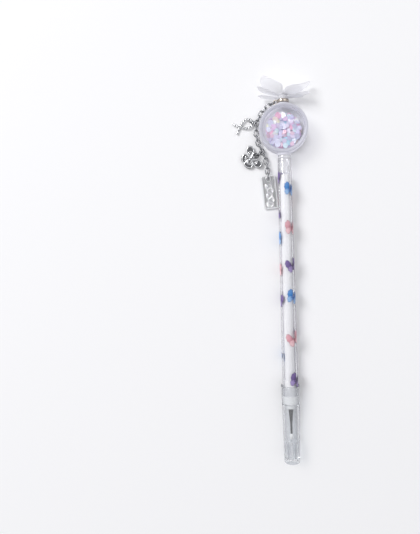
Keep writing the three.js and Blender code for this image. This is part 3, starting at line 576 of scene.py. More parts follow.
def print_ink(name, deep, middle, pale):
    """Printing ink in three tones, deep on the outline, middle in the fore wings, pale behind."""
    made, shader, place = finish(name, middle, 0.35)
    shade = node(made, "Attribute", attribute_name="shade").outputs["Fac"]
    mottled(
        made, shader, place, 0.8, 3.0, 0.2, shade, [(0.1, deep), (0.35, middle), (0.95, pale)]
    )
    return made


# Each colour: the three tones of its ink, and its prints: place along the pen, turn from the top,
# lean and size.
PRINT_COLOURS = (
    (
        "blue", ("#1B4C97", "#3580C8", "#9CBDE4"),
        (
            (-29.6, 46, 12, 0.9), (-53.7, -101, -12, 0.95), (-82.4, 44, 20, 0.95),
            (-112.0, -150, 40, 1.0),
        ),
    ),
    (
        "violet", ("#33214F", "#66508C", "#A493C4"),
        (
            (-23.6, -104, 10, 0.9), (-41.6, -110, 150, 0.8), (-66.8, 48, -16, 0.95),
            (-84.0, -98, 15, 1.0), (-124.3, 50, 24, 1.0), (-100.0, 170, -30, 0.9),
        ),
    ),
    (
        "rose", ("#9C5A66", "#D59AA7", "#EBC6CC"),
        (
            (-48.4, 47, 8, 0.95), (-69.2, -100, -10, 0.9), (-103.3, 42, -20, 1.0),
            (-35.0, 168, 30, 0.9),
        ),
    ),
)
for colour, tones, prints in PRINT_COLOURS:
    ink = print_ink(f"{colour}_printing_ink", *tones)
    patches, shades = [], []
    for middle_y, degrees, lean, size in prints:
        around = math.radians(degrees)
        lean = math.radians(lean)
        for wing in WING_PRINTS:
            grid, shade = print_patch(wing, lean, middle_y, around, size)
            patches.append((grid, False, True))
            shades.append(shade.ravel())
        body = print_body(lean, middle_y, around, size)
        patches.append((body, False, True))
        shades.append(np.zeros(body.shape[:2]).ravel())
    piece(
        f"print_{colour}", patches, ink, "pen_body",
        values={"shade": np.concatenate(shades)}, closed=False,
    )

# Nose plug.
# A cloudy plug pressed into the barrel. Its shoulder stops the cap and its narrow nose holds the
# tip.

nose_low, nose_high = box_corners("nose_plug")
SHOULDER_TOP = barrel_low[1] - 0.02
NOSE_STEP = SHOULDER_TOP - 4.2
NOSE_END = nose_low[1] + 1.7
TUBE_BORE = 2.35
TIP_BORE = 1.25
NOSE_TIP = 2.4
NOSE_NECK = 2.85
tube_low, tube_high = box_corners("refill_tube")
nose = rounded(
    (TIP_BORE, NOSE_END), (NOSE_TIP, NOSE_END), (NOSE_NECK, NOSE_STEP),
    (NOSE_RADIUS - 0.15, NOSE_STEP), (NOSE_RADIUS, NOSE_STEP + 0.4), (NOSE_RADIUS, SHOULDER_TOP),
    (NOSE_NECK, SHOULDER_TOP), (NOSE_NECK, nose_high[1]), (TUBE_BORE, nose_high[1]),
    (TUBE_BORE, tube_low[1] - 0.1), (TIP_BORE, tube_low[1] - 0.1), radius=0.3,
)

# The same plastic, milkier: it shows white against the clear cap. Painted shade greys its edges.
milk_white = see_through("milky_clear_polypropylene", "#FDFDFD", "#DCDDE0", 0.07, 0.15, "#F3F3F5")
piece(
    "nose_plug_cloudy", [(turned(nose), True, True)], milk_white, "refill_unit",
    "nose_plug",
)

# Refill.
# A milky white polypropylene tube with black gel ink and a plug of grease behind it. The wall is
# dense enough to hide the ink.

TUBE_RADIUS = 2.25
TUBE_WALL = 0.5

# Extruded polypropylene: milky white, satin, with a long soft glint.
milky, shader, place = finish("milky_polypropylene", "#FAFAFB", 0.22)
grain(milky, shader, place, 1.5, 0.01)
tube = sleeve(TUBE_RADIUS - TUBE_WALL, TUBE_RADIUS, tube_low[1], tube_high[1], 0.1, 3)
piece(
    "refill_tube_milky", [(turned(tube), True, True)], milky, "refill_unit",
    "refill_tube",
)


def dress(name, look):
    """Gives a CAD node that stays its better material."""
    frame["nodes"][name].material_slots[0].material = look


# Water-based gel ink: deep black and wet.
gel, shader, place = finish("black_gel_ink", "#16161A", 0.2)
grain(gel, shader, place, 0.6, 0.01)
dress("gel_ink", gel)

# Silicone grease: pale straw, soft and slightly cloudy.
grease, shader, place = finish(
    "silicone_grease", "#E6DFC4", 0.25, {"Transmission Weight": 0.4, "IOR": 1.4}
)
grain(grease, shader, place, 0.5, 0.02)
dress("grease_follower", grease)

# Metal tip.
# Turned nickel silver: a shank in the nose, a cone, and a needle whose end is crimped round the
# ball.

# Nickel silver, turned on a lathe, with fine rings round it.
# Its dark colour is a painted reflection of dark surroundings.
nickel, shader, place = finish("nickel_silver_painted_dark_reflection", "#454649", 0.2, {"Metallic": 1.0})
lathe = node(
    nickel, "TexWave", {"Vector": place, "Scale": 1 / (4 * MM), "Distortion": 0.4},
    wave_type="BANDS", bands_direction="Y",
)
rings = node(nickel, "Bump", {"Height": lathe.outputs["Fac"], "Distance": 0.004 * MM})
feed(shader.inputs["Normal"], rings)

tip_low, tip_high = box_corners("metal_tip")
CONE_END = nose_low[1] - 5.6
NEEDLE_BORE = 0.38
NEEDLE_RADIUS = 0.55
CONE_RADII = (0.67, 1.0)
SHANK_RADIUS = 1.15
tip = rounded(
    (NEEDLE_BORE, tip_low[1]), (0.44, tip_low[1]), (0.5, tip_low[1] + 0.5),
    (NEEDLE_RADIUS, CONE_END - 0.3), (CONE_RADII[0], CONE_END),
    (CONE_RADII[1], nose_low[1] - 0.9), (SHANK_RADIUS, nose_low[1] - 0.7),
    (SHANK_RADIUS, tip_high[1]), (NEEDLE_BORE, tip_high[1]), radius=0.12, steps=4,
)
piece(
    "needle_tip", [(turned(tip, 64), True, True)], nickel, "refill_unit",
    "metal_tip",
)

# Tungsten carbide ball: polished, slightly darker than the tip.
carbide, shader, place = finish("polished_carbide", "#9A9B9E", 0.08, {"Metallic": 1.0})
grain(carbide, shader, place, 0.05, 0.0005)
dress("writing_ball", carbide)

# Protective bead.
# A drop of soft resin on the needle's end that keeps the ink wet until the first use.

bead_low, bead_high = box_corners("tip_bead")
BEAD_RADIUS = 0.95
BEAD_HOLE = 0.6
BEAD_HOLE_END = bead_low[1] + 2.0
bead_share = np.linspace(0, 1, 22)
bead_length = bead_high[1] - bead_low[1]
bead_radius = BEAD_RADIUS * np.sqrt(np.clip(1 - ((bead_share - 0.48) / 0.56) ** 2, 0, 1))
bead_radius[0] = 0
bead = np.concatenate(
    [
        np.stack([bead_radius, bead_low[1] + bead_share * bead_length], 1),
        [(BEAD_HOLE, bead_high[1]), (BEAD_HOLE, BEAD_HOLE_END), (0.0, BEAD_HOLE_END)],
    ]
)

# Hot-melt resin: white, waxy and soft-looking.
wax, shader, place = finish("white_melt_resin", "#FAFAF9", 0.35)
grain(wax, shader, place, 0.4, 0.02)
piece(
    "tip_bead_resin", [(turned(bead, 48), False, True)], wax, "refill_unit",
    "tip_bead",
)

# Cap.
# A clear cap with a bead round its mouth. Inside are a bore for the barrel, a narrower chamber
# for the tip, and eight ribs along the closed end.

# Clear polystyrene with a faint haze from its many ribs and thick end; painted shade greys its
# edges.
hazy = see_through("hazy_polystyrene", "#EEEFF1", "#B2B4B9", 0.05, 0.95, "#F6F7F8")

cap_low, cap_high = box_corners("cap")
CAP_MOUTH = cap_high[1]
CAP_END = cap_low[1]
CAP_STEP = NOSE_STEP - 0.1
CHAMBER_END = nose_low[1] - 14.6
POCKET_END = CAP_END + 1.2
POCKET_RADIUS = 3.66
RIB_REACH = 1.7
RIB_COUNT = 8
CAP_END_RADIUS = 3.95
CAP_RADIUS = 4.63
MOUTH_BEAD = 4.75
SLEEVE_BORE = 4.1
CHAMBER_RADII = (3.35, 3.15)
cap_outside = rounded(
    (0, CAP_END), (CAP_END_RADIUS, CAP_END), (CAP_RADIUS, CAP_MOUTH - 1.2),
    (MOUTH_BEAD, CAP_MOUTH - 0.9), (MOUTH_BEAD, CAP_MOUTH), (4.25, CAP_MOUTH),
    (SLEEVE_BORE, barrel_low[1]), (SLEEVE_BORE, CAP_STEP), (CHAMBER_RADII[0], CAP_STEP),
    (CHAMBER_RADII[1], CHAMBER_END), (POCKET_RADIUS, CHAMBER_END - 0.5), radius=0.9, steps=6,
    closed=False,
)
pocket_share = np.linspace(0, 1, 24)[:, None]
pocket_along = CHAMBER_END - 0.5 + (POCKET_END - CHAMBER_END + 0.5) * pocket_share
pocket_plain = (POCKET_RADIUS - 0.4 * pocket_share) * np.sqrt(1 - pocket_share**10)
CAP_SEGMENTS = 256
cap_turn = full_turn(CAP_SEGMENTS)[None, :]
rib_height = np.clip(1.6 * np.cos(RIB_COUNT * cap_turn) - 0.9, 0, 0.6) / 0.6
rib_start = np.clip(pocket_share * 8, 0, 1)
pocket_radius = pocket_plain - rib_height * rib_start * (pocket_plain - RIB_REACH).clip(0)
pocket = around_pen(pocket_radius, pocket_along, cap_turn)
piece(
    "cap_clear", [(np.concatenate([turned(cap_outside, CAP_SEGMENTS), pocket]), False, True)],
    hazy, "cap", "cap",
)

# Topper pin and swivel ring.
# A plated steel pin holds the topper. A plated brass collar turns on it and carries the chain
# by a wire eye.

# Nickel plate on brass: mirror-smooth with faint handling marks.
# Its dark warm grey colour is a painted reflection.
plated, shader, place = finish("nickel_plate_painted_reflection", "#A59C94", 0.07, {"Metallic": 1.0})
grain(plated, shader, place, 0.5, 0.002)
dress("topper_pin", plated)


def tube_along(path, radius, up, sides=14, closed=False):
    """A round wire along a path: at each point a circle of the given radius, square to the path.

    The circle's first direction is the path's direction crossed with up. The radius is one
    number, a column with one for each point, or a grid with one for each point and side.
    """
    if closed:
        forward = np.roll(path, -1, 0) - np.roll(path, 1, 0)
    else:
        forward = np.gradient(path, axis=0)
    forward = unit(forward)
    side = unit(np.cross(forward, up))
    top = np.cross(side, forward)
    turn = full_turn(sides)[None, :, None]
    radius = np.broadcast_to(radius, (len(path), sides))[..., None]
    return path[:, None] + radius * (np.cos(turn) * side[:, None] + np.sin(turn) * top[:, None])


COLLAR_LOW = 12.8
COLLAR_HIGH = 14.2
COLLAR_RADIUS = 2.9
COLLAR_BORE = 1.5
EYE_RADIUS = 1.05
EYE_WIRE = 0.32
EYE_REACH = 3.79
EYE_TURN = math.radians(200)
collar = sleeve(COLLAR_BORE, COLLAR_RADIUS, COLLAR_LOW, COLLAR_HIGH, 0.3)
eye_out = np.array([math.cos(EYE_TURN), 0, math.sin(EYE_TURN)])
eye_middle = EYE_REACH * eye_out + (0, (COLLAR_LOW + COLLAR_HIGH) / 2, AXIS_HEIGHT)
eye_round = full_turn(48)[:, None]
eye_path = eye_middle + EYE_RADIUS * (np.cos(eye_round) * eye_out + np.sin(eye_round) * (0, 1, 0))
eye_up = np.cross(eye_out, (0, 1, 0))
piece(
    "swivel_collar",
    [
        (turned(collar), True, True),
        (tube_along(eye_path, EYE_WIRE, eye_up, closed=True), True, True),
    ],
    plated, "swivel", "swivel_ring",
)

# Butterfly topper.
# Two layers of wings, moulded in frosted soft plastic with fine lines along each blade, pushed on
# a hub. Each blade leaves the hub flat and curls up.

hub_low, hub_high = box_corners("topper_hub")
HUB_RADIUS = 2.0
HUB_BORE = 1.32
# The solid hub covers fully: its rim value is above that of any edge of a blade.
HUB_RIM = 1.8
hub = rounded(
    (HUB_BORE, hub_low[1]), (2.5, hub_low[1]), (2.7, hub_low[1] + 0.5),
    (HUB_RADIUS, hub_low[1] + 0.5), (HUB_RADIUS, hub_high[1] - 0.5), (1.2, hub_high[1]),
    (0, hub_high[1]), (0, hub_high[1] - 0.8), (HUB_BORE, hub_high[1] - 0.8), radius=0.1, steps=4,
)
hub = turned(hub)

WING_LINE = 0.45
LINE_DEPTH = 0.03
PETAL_SPREAD = 0.55
# How much of the view a blade covers, how much more its rim does, and how much less a shadow.
BLADE_COVER = 0.6
RIM_COVER = 0.3
SHADOW_LOSS = -0.35

# Frosted soft plastic: milky and half clear, with fine lines along each blade.
petal, shader, place = finish("frosted_soft_plastic", "#F1F1F4", 0.4)
across = node(petal, "Attribute", attribute_name="across").outputs["Fac"]
fan = node(petal, "Math", [across, 2 * math.pi / WING_LINE], operation="MULTIPLY")
lines = node(petal, "Math", [fan], operation="SINE")
line_colour = node(petal, "ValToRGB", {"Fac": lines}, [(0.0, "#EFEFF2"), (1.0, "#F8F8FA")])
feed(shader.inputs["Base Color"], line_colour)
line_bump = node(petal, "Bump", {"Height": lines, "Distance": LINE_DEPTH * MM})
feed(shader.inputs["Normal"], line_bump)
milk = glow_through(petal, shader, line_colour, PETAL_SPREAD)
gap = node(petal, "BsdfTransparent")
rim = node(petal, "Attribute", attribute_name="rim").outputs["Fac"]
thick = node(petal, "Math", [rim, RIM_COVER, BLADE_COVER], operation="MULTIPLY_ADD")
light_rays = node(petal, "LightPath").outputs["Is Shadow Ray"]
cover = node(petal, "Math", [light_rays, SHADOW_LOSS, thick], operation="MULTIPLY_ADD")
surface(petal, node(petal, "MixShader", [cover, gap, milk]))

WING_ROOT = HUB_RADIUS - 0.4
WING_HALF = 0.3


def blade(angle, reach, lift, lead, trail, slant, cup, base):
    """One blade as a closed sheet, each point's distance from its middle line, and its rim.

    A middle line leaves the hub at the given angle round the pen and bends evenly from the first
    to the second lift angle. Width is side * lead or trail * (0.3 + 0.7 sin(pi / 2 * s^0.9)), the
    far corners are cut back by 0.26 * side^4, the edges rise by cup * side^2, and the thickness
    fades to nothing along every edge. The rim is 1 along the edges: side^8 or s^14, if larger.
    """
    s = np.linspace(0, 1, 40)[:, None]
    side = np.linspace(-1, 1, 41)[None, :]
    around = math.radians(angle)
    outward = np.array([math.cos(around), 0, math.sin(around)])
    sideways = np.array([-math.sin(around), 0, math.cos(around)])
    start = math.radians(lift[0])
    bend = math.radians(lift[1] - lift[0]) / reach
    rise = start + bend * reach * s * (1 + slant * side) * (1 - 0.26 * side**4)
    fullness = 0.3 + 0.7 * np.sin(np.pi / 2 * s**0.9)
    width = side * fullness * np.where(side > 0, lead, trail)
    far = WING_ROOT + (np.sin(rise) - math.sin(start)) / bend
    high = base + (math.cos(start) - np.cos(rise)) / bend
    normal = -np.sin(rise)[..., None] * outward + np.cos(rise)[..., None] * (0, 1, 0)
    middle = far[..., None] * outward + width[..., None] * sideways + high[..., None] * (0, 1, 0)
    middle = middle + (cup * side**2 * fullness)[..., None] * normal + (0, 0, AXIS_HEIGHT)
    fade = np.sqrt((1 - side**8) * (1 - s**12) * np.clip(s * 12, 0, 1))
    half = normal * (WING_HALF * fade)[..., None]
    sheets = [(middle + half, False, False), (middle - half, False, False)]
    edge = np.maximum(side**8, s**14)
    return sheets, np.tile(width, (2, 1)), np.tile(edge, (2, 1))


# Each blade: angle round the pen, length, lift at root and tip, widths of its two halves, how
# much longer its leading side is, and the rise of its edges.
UPPER_BLADES = (
    (146, 10.0, (30, 76), 9.0, 6.0, 0.42, 0.5), (168, 11.2, (8, 28), 4.6, 2.2, -0.15, 0.5),
    (21, 10.0, (6, 38), 7.4, 7.3, -0.45, 0.5), (28, 7.4, (16, 30), 4.0, 6.6, -0.06, 0.5),
)
LOWER_BLADES = (
    (188, 10.0, (3, 14), 2.8, 3.6, -0.1, 0.3), (4, 11.4, (3, 9), 3.4, 3.2, 0.0, 0.3),
    (-14, 8.8, (2, 6), 2.4, 2.4, 0.0, 0.3),
)
DISC_THICKNESS = 0.7
DISC_WIDTH = 0.5
DISC_BORE = HUB_RADIUS + 0.02
LOWER_BASE = hub_low[1] + 0.52
UPPER_BASE = LOWER_BASE + DISC_THICKNESS + 0.7
WING_LAYERS = (("lower", LOWER_BLADES, LOWER_BASE), ("upper", UPPER_BLADES, UPPER_BASE))
for layer, blades, base in WING_LAYERS:
    disc = sleeve(DISC_BORE, HUB_RADIUS + DISC_WIDTH, base, base + DISC_THICKNESS, 0.1, 3)
    disc = turned(disc)
    grids = [(disc, True, True)]
    offsets = [np.zeros(disc[..., 0].size)]
    edges = [np.zeros(disc[..., 0].size)]
    for shape in blades:
        sheets, offset, edge = blade(*shape, base + DISC_THICKNESS / 2)
        grids += sheets
        offsets.append(offset.ravel())
        edges.append(edge.ravel())
    piece(
        f"wings_{layer}_frosted", grids, petal, "pen_body", f"wings_{layer}",
        {"across": np.concatenate(offsets), "rim": np.concatenate(edges)}, sharp=60,
    )
piece(
    "topper_hub_frosted", [(hub, True, True)], petal, "pen_body", "topper_hub",
    {"across": np.zeros(hub.shape[:2]), "rim": np.full(hub.shape[:2], HUB_RIM)},
)

# Chain.
# A cable chain of oval wire links, cast zinc with antiqued silver plate, polished on the high
# spots. Where links lie close, the colour is painted dark as painted shade.

LINK_RADIUS = 1.05
LINK_WIRE = 0.27
LINK_STRETCH = 0.6
DENT_DEPTH = 0.05


def antiqued_with_painted_shade(name, dark, bright, reach):
    """Silver plate with painted shade: dark where a neighbour is within reach, bright where open.
    """
    made, shader, place = finish(name, bright, 0.17, {"Metallic": 1.0})
    painted_shade_openness = node(made, "AmbientOcclusion", {"Distance": reach * MM}, samples=8)
    stops = [(0.6, dark), (1.0, bright)]
    cloud = mottled(made, shader, place, 0.7, 4.0, 0.3, painted_shade_openness.outputs["AO"], stops)
    dents = node(made, "Bump", {"Height": cloud, "Distance": DENT_DEPTH * MM})
    feed(shader.inputs["Normal"], dents)
    return made


silver = antiqued_with_painted_shade("antiqued_silver_plate_painted_shade", "#19191B", "#8F9093", 0.85)


def node_axes(name):
    """Middle of a CAD node and the directions in which it is longest, wider and thinnest."""
    mesh = frame["nodes"][name].data
    points = np.empty(len(mesh.vertices) * 3)
    mesh.vertices.foreach_get("co", points)
    points = np.unique(np.round(points.reshape(-1, 3) / MM, 4), axis=0)
    middle = points.mean(0)
    _, _, axes = np.linalg.svd(points - middle, full_matrices=False)
    return middle, axes


def wire_oval(name, radius, stretch, wire, steps=20):
    """A closed wire on the place and axes of a CAD node: two half rounds and straight sides."""
    middle, (along, wide, thin) = node_axes(name)
    half = np.linspace(-np.pi / 2, np.pi / 2, steps)
    right = np.stack([radius * np.cos(half) + stretch, radius * np.sin(half)], 1)
    flat = np.concatenate([right, -right])
    path = middle + flat[:, :1] * along + flat[:, 1:] * wide
    return tube_along(path, wire, thin, 12, closed=True)


link_names = sorted(name for name in frame["nodes"] if name.startswith("link_"))
for name in link_names:
    piece(
        f"wire_{name}", [(wire_oval(name, LINK_RADIUS, LINK_STRETCH, LINK_WIRE), True, True)],
        silver, name, name,
    )

# Jump rings.
# A ring of round wire holds each charm on its link.

JUMP_RADIUS = 1.9
JUMP_WIRE = 0.28
for charm in ("ribbon", "butterfly", "tag"):
    name = f"jump_ring_{charm}"
    piece(
        f"wire_{name}", [(wire_oval(name, JUMP_RADIUS, 0, JUMP_WIRE, 28), True, True)], silver,
        f"ring_{charm}", name,
    )

# Ribbon charm.
# A looped ribbon cast as a twisted cord, its two tails crossed.

joints = {joint["name"]: joint for joint in frame["joints"]}


def charm_frame(charm, turn_joint):
    """Where a charm hangs, from its joints: origin, way out from the chain, sideways, up."""
    turn = joints[turn_joint]
    up = np.array(turn["axis"], float)
    sideways = -np.array(joints[f"ring_{charm}_lift"]["axis"], float)
    return np.array(turn["pos_m"], float) / MM, np.stack([np.cross(sideways, up), sideways, up])


def spline(*points, steps):
    """A smooth path through points: between two of them, the cubic through their neighbours."""
    points = np.asarray(points, float)
    padded = np.concatenate([[2 * points[0] - points[1]], points, [2 * points[-1] - points[-2]]])
    t = np.linspace(0, 1, steps, endpoint=False)[None, :, None]
    a, b, c, d = (padded[i : len(padded) - 3 + i][:, None] for i in range(4))
    curve = 0.5 * (
        2 * b + (c - a) * t + (2 * a - 5 * b + 4 * c - d) * t**2 + (3 * b - a - 3 * c + d) * t**3
    )
    return np.concatenate([curve.reshape(-1, points.shape[1]), points[-1:]])


def run_along(path):
    """How far each point of a path lies from its start, measured along it."""
    return np.concatenate([[0], np.cumsum(np.linalg.norm(np.diff(path, axis=0), axis=1))])


def twisted(path, radius, up, pitch, sides=20):
    """A cord of two strands, and how far each point stands out, from 0 in the groove to 1.

    The tube's radius swells twice round it, and the swelling turns once in two pitches.
    """
    length = run_along(path)
    strand = np.abs(np.cos(full_turn(sides)[None, :] - np.pi * length[:, None] / pitch))
    swell = 0.76 + 0.24 * strand
    ends = np.clip(np.minimum(length, length[-1] - length) / radius, 0, 1)
    round_ends = np.sqrt(1 - (1 - ends) ** 2)
    return tube_along(path, radius * swell * round_ends[:, None], up, sides), strand


def flat_turn(angle):
    """The matrix that turns the first two numbers of points by an angle."""
    across, along = math.sin(angle), math.cos(angle)
    return np.array([[along, across, 0], [-across, along, 0], [0, 0, 1]])


# The same silver plate, blackened wherever the casting is low.
blackened, shader, place = finish("blackened_silver_plate", "#C6C7C9", 0.22, {"Metallic": 1.0})
raised = node(blackened, "Attribute", attribute_name="raised").outputs["Fac"]
plate_stops = [(0.4, "#19191B"), (0.78, "#DEDFE1")]
mottled(blackened, shader, place, 0.35, 3.0, 0.3, raised, plate_stops)

RIBBON_RADIUS = 0.5
RIBBON_PITCH = 1.5
RIBBON_RIM = -1.4
RIBBON_LOOP = 7.0
RIBBON_HALF = 2.2
RIBBON_TAIL = 2.9
RIBBON_SPREAD = 2.8
RIBBON_TURN = math.radians(33)
ribbon_cross = RIBBON_RIM + RIBBON_LOOP
ribbon_grids, ribbon_raised = [], []
ribbon_origin, ribbon_axes = charm_frame("ribbon", "ribbon_charm_turn")
for side in (1, -1):
    strand = spline(
        (RIBBON_RIM, 0, 0), (RIBBON_RIM + RIBBON_LOOP * 0.16, side * RIBBON_HALF * 0.75, 0),
        (RIBBON_RIM + RIBBON_LOOP * 0.5, side * RIBBON_HALF, 0), (ribbon_cross, 0, side * 0.3),
        (ribbon_cross + RIBBON_TAIL * 0.5, -side * RIBBON_SPREAD * 0.5, side * 0.3),
        (ribbon_cross + RIBBON_TAIL, -side * RIBBON_SPREAD, 0), steps=26,
    )
    path = ribbon_origin + strand @ flat_turn(RIBBON_TURN) @ ribbon_axes
    cord, raised_parts = twisted(path, RIBBON_RADIUS, ribbon_axes[2], RIBBON_PITCH)
    ribbon_grids.append((cord, False, True))
    ribbon_raised.append(raised_parts.ravel())
piece(
    "ribbon_cord", ribbon_grids, blackened, "ribbon_charm", "ribbon_charm",
    {"raised": np.concatenate(ribbon_raised)}, sharp=70,
)

# Butterfly charm.
# An openwork casting: wire rims round four wings, scrolls inside them, and a ringed body.

CHARM_EYE = 1.1
CHARM_EYE_WIRE = 0.32
BODY_LENGTH = 5.0
FORE_WING = (6.6, 2.4, 64)
HIND_WING = (4.8, 2.9, 142)
WIRE_RISE = 0.35
RIM_WIRE = 0.27
# Each scroll in a wing: its length, half width, place along and place across, as shares of the
# wing's own, and the radius of its wire.
SCROLLS = (
    (0.5, 0.62, 0.08, 0, 0.22), (0.3, 0.34, 0.56, 0.34, 0.2), (0.3, 0.34, 0.56, -0.34, 0.2),
    (0.24, 0.26, 0.7, 0, 0.2), (0.3, 0.3, 0.16, 0, 0.16),
)
butterfly_origin, butterfly_axes = charm_frame("butterfly", "butterfly_charm_turn")
butterfly_middle = np.array([CHARM_EYE + BODY_LENGTH / 2 - CHARM_EYE_WIRE, 0, 0])


def drop(length, width):
    """The edge of a drop: length * (1 - cos t) / 2 along, width * sin t * sin(t / 2) across."""
    t = full_turn(48)
    return np.stack([length * (1 - np.cos(t)) / 2, width * np.sin(t) * np.sin(t / 2), 0 * t], 1)


def on_butterfly(points, angle, side):
    """Turns a wing's points to its angle from the head, on the left or the right side."""
    turn = np.pi + side * math.radians(angle)
    return butterfly_origin + (butterfly_middle + points @ flat_turn(turn)) @ butterfly_axes


wing_wires = []
for length, width, angle in (FORE_WING, HIND_WING):
    for side in (-1, 1):
        rims = [(drop(length - 0.55, width - 0.2) + (0.1, 0, 0), RIM_WIRE)]
        for long, wide, along, across, wire in SCROLLS:
            scroll = drop(length * long, width * wide) + (length * along, width * across, 0)
            rims.append((scroll, wire))
        for rim, wire in rims:
            rim = rim + (0, 0, WIRE_RISE)
            grid = tube_along(on_butterfly(rim, angle, side), wire, butterfly_axes[2], 10, True)
            wing_wires.append((grid, True, True))
body_share = np.linspace(0, 1, 60)
body_rings = 0.86 + 0.14 * np.cos(body_share * 2 * np.pi * 8)
body_radius = 0.75 * np.sqrt(np.clip(1 - (2 * body_share - 1) ** 2, 0, 1)) * body_rings
body_path = np.stack([(body_share - 0.5) * BODY_LENGTH, 0 * body_share, 0 * body_share + 0.1], 1)
body_path = on_butterfly(body_path, 0, 1)
body_grid = tube_along(body_path, body_radius[:, None], butterfly_axes[2], 20)
wing_wires.append((body_grid, False, True))

# Polished silver plate: the raised wires of the casting, bright, with painted shade where they
# cross.
polished = antiqued_with_painted_shade("polished_silver_plate_painted_shade", "#1D1D1F", "#D9DADC", 0.35)
piece("butterfly_filigree", wing_wires, polished, "butterfly_charm")

# The ground of the casting lies low and keeps its black; under the wires it gets painted shade.
ground = antiqued_with_painted_shade("blackened_ground_painted_shade", "#161618", "#66676A", 0.9)
dress("butterfly_charm", ground)

# Tag.
# A small cast plate with a hole, a raised edge, and a raised vine with leaves and berries on a
# dimpled, blackened ground.

TAG_TOP = -1.65
TAG_END = 14.95
TAG_HALF = 3.45
TAG_HOLE = 1.05
TAG_CORNER = 0.9
TAG_BASE = 0.325
TAG_RELIEF = 0.25
TAG_DIMPLE = 0.05
TAG_BORDER = 0.7
TAG_COLLAR = 0.5
VINE_SWAY = 1.15
VINE_HALF = 0.36
BACK_POLISH = 0.7
tag_origin, tag_axes = charm_frame("tag", "tag_turn")


def tag_height(x, y):
    """Height of the tag's face: a raised edge, a wavy vine, leaves, berries, and dimples between.

    Each part is a smooth step of how far the point lies inside it; the highest part counts. The
    second number says how much each point is polished, from 0 in a dimple to 1 on a raised part.
    """
    edge = np.minimum(np.minimum(x - TAG_TOP, TAG_END - x), TAG_HALF - np.abs(y))
    hole = np.hypot(x, y) - TAG_HOLE
    border = np.clip((TAG_BORDER - edge) / 0.2, 0, 1)
    collar = np.clip((TAG_COLLAR - hole) / 0.2, 0, 1)
    start, end, waves = 2.4, 14.0, 2.5
    share = (x - start) / (end - start)
    phase = 2 * np.pi * waves * share
    slope = VINE_SWAY * 2 * np.pi * waves / (end - start) * np.cos(phase)
    beside = np.abs(y - VINE_SWAY * np.sin(phase)) / np.sqrt(1 + slope**2)
    vine = np.clip((VINE_HALF - beside) / 0.15, 0, 1)
    vine *= np.clip((0.5 - np.abs(share - 0.5)) * 20, 0, 1)
    relief = np.maximum(np.maximum(border, collar), vine)
    for number in range(int(2 * waves)):
        middle = start + (end - start) * (number + 0.5) / (2 * waves)
        crest = VINE_SWAY * (-1) ** number
        berry = 0.25 - np.hypot(x - middle, y + crest * 0.75) ** 2
        relief = np.maximum(relief, 1.5 * np.sqrt(np.clip(berry / 0.25, 0, 1)))
        for lean in (-1, 1):
            u = x - middle - lean * 0.62
            v = y + crest * 1.35
            along = u * 0.8 + lean * v * 0.6 * np.sign(crest)
            wide = -lean * u * 0.6 * np.sign(crest) + v * 0.8
            leaf = 1 - (along / 0.8) ** 2 - (wide / 0.4) ** 2
            relief = np.maximum(relief, np.sqrt(np.clip(leaf, 0, 1)))
    dimples = np.sin(x * 7) * np.sin(y * 7 + 1)
    ground = np.clip(1 - relief * 3, 0, 1)
    polish = np.maximum(relief, 0.42 + 0.55 * dimples)
    return relief * TAG_RELIEF + dimples * ground * TAG_DIMPLE, polish


def tag_grid():
    """The plate as a closed band: hole wall, face, outer wall, back.

    Seen from the hole's middle, each direction has one point on the hole and one on the outline,
    and the face runs straight between them.
    """
    columns = 420
    path = rounded(
        (TAG_TOP, TAG_HALF), (TAG_END, TAG_HALF), (TAG_END, -TAG_HALF), (TAG_TOP, -TAG_HALF),
        radius=TAG_CORNER, steps=8,
    )
    path = np.concatenate([path, path[:1]])
    step = run_along(path)
    at = np.linspace(0, step[-1], columns, endpoint=False)
    outline = np.stack([np.interp(at, step, path[:, 0]), np.interp(at, step, path[:, 1])], 1)
    hole = unit(outline) * TAG_HOLE
    share = np.linspace(0, 1, 130)[:, None, None]
    flat = hole + (outline - hole) * share
    rise, relief = tag_height(flat[..., 0], flat[..., 1])
    rim = np.clip(np.minimum(share[..., 0], 1 - share[..., 0]) * 60, 0, 1)
    face = TAG_BASE - 0.12 + rise - 0.08 * (1 - rim) ** 2
    back = np.full((2, columns), -TAG_BASE - 0.125)
    heights = np.concatenate([back[:1], face, back[1:]])
    flat = np.concatenate([flat[:1], flat, flat[-1:]])
    local = np.concatenate([flat, heights[..., None]], -1)
    back_polish = np.full((1, columns), BACK_POLISH)
    bare = np.concatenate([back_polish, relief, back_polish])
    return tag_origin + local @ tag_axes, bare


tag_points, tag_raised = tag_grid()
piece(
    "tag_plate", [(tag_points, True, True)], blackened, "tag", "tag",
    {"raised": tag_raised}, sharp=50,
)

# Stage: the table, the light and the camera.
# A pale table top, one soft lamp from the upper left, a weak fill from the right and an even sky.

TABLE_SIZE = 6.0
PEN_MIDDLE = (0, -0.07, 0)
floor_mesh = bpy.data.meshes.new("table_top")
half = TABLE_SIZE / 2
floor_mesh.from_pydata(
    [(-half, -half, 0), (half, -half, 0), (half, half, 0), (-half, half, 0)], [], [(0, 1, 2, 3)]
)
in_scene("table_top", floor_mesh)

# Matt laminate: pale and even.
laminate, shader, place = finish("pale_laminate", "#F5F5F7", 0.7, {"Specular IOR Level": 0.2})
grain(laminate, shader, place, 1.2, 0.002)

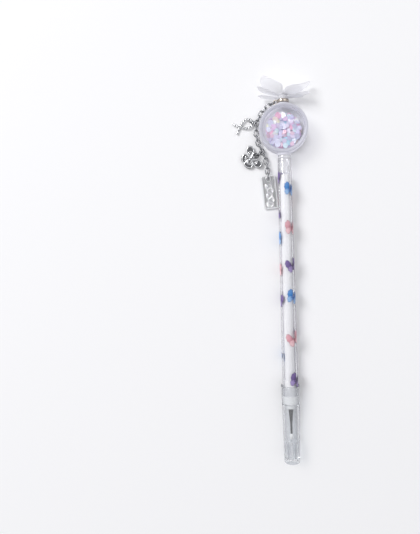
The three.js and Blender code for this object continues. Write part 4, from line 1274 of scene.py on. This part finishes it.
# Far from the pen the table runs into the pale background, as a paper sweep does.
# Near the pen an eighth of the table's look is painted light, which lightens the shadows there.
from_pen = node(laminate, "VectorMath", [place, PEN_MIDDLE], operation="DISTANCE")
painted_light_share = node(
    laminate, "MapRange",
    {
        "Value": from_pen.outputs["Value"], "From Min": 0.25, "From Max": 0.8, "To Min": 0.12,
        "To Max": 1.0,
    },
    interpolation_type="SMOOTHSTEP",
)
seen_table = node(laminate, "LightPath").outputs["Is Camera Ray"]
fade = node(laminate, "Math", [painted_light_share, seen_table], operation="MULTIPLY")
pale = node(laminate, "Emission", {"Color": linear("#F9F9FB")})
surface(laminate, node(laminate, "MixShader", [fade, shader, pale]))
floor_mesh.materials.append(laminate)

SKY = 0.43
sky = bpy.data.worlds.new("even_sky")
sky.use_nodes = True
bpy.context.scene.world = sky
background = sky.node_tree.nodes["Background"]
background.inputs["Color"].default_value = linear("#F9F9FB")
paths = node(sky, "LightPath").outputs
seen = paths["Is Camera Ray"]
for kind in ("Is Glossy Ray", "Is Transmission Ray"):
    seen = node(sky, "Math", [seen, paths[kind]], operation="MAXIMUM")
bright_sky = node(sky, "Math", [seen, 1 - SKY, SKY], operation="MULTIPLY_ADD")
feed(background.inputs["Strength"], bright_sky)


def stand(thing, axes, place):
    """Puts a lamp or camera at its place in metres, its own axes given as columns."""
    rows = [[*map(float, row), float(at)] for row, at in zip(axes, place)]
    thing.matrix_world = Matrix(rows + [[0, 0, 0, 1]])


def soft_lamp(name, place, size, power):
    """A square lamp that faces the middle of the pen."""
    data = bpy.data.lights.new(name, "AREA")
    data.shape = "SQUARE"
    data.size = size
    data.energy = power
    away = unit(np.array(place) - PEN_MIDDLE)
    across = unit(np.cross((0, 1, 0), away))
    stand(in_scene(name, data), np.stack([across, np.cross(away, across), away], 1), place)


soft_lamp("soft_key", (-1.1, 0.85, 1.4), 0.8, 29.2)
soft_lamp("broad_fill", (0.9, 0.3, 1.2), 1.0, 3.5)

# The camera's focal length and the photograph's height in pixels, its place in millimetres and
# its axes.
IMAGE_HEIGHT = 534
FOCAL_PIXELS = 480
CAMERA_PLACE = (-1.61, -51.94, 246.0)
CAMERA_AXES = (
    (0.98801, -0.03623, -0.15005), (0.0269, 0.99761, -0.06372), (0.152, 0.05892, 0.98662),
)
camera_data = bpy.data.cameras.new("camera")
camera_data.sensor_fit = "AUTO"
camera_data.sensor_width = 36
camera_data.lens = FOCAL_PIXELS / IMAGE_HEIGHT * camera_data.sensor_width
camera_data.clip_start = 0.01
camera_data.clip_end = 20
camera = in_scene("camera", camera_data)
stand(camera, np.array(CAMERA_AXES).T, np.array(CAMERA_PLACE) * MM)
bpy.context.scene.camera = camera
bpy.context.scene.view_settings.view_transform = "Standard"
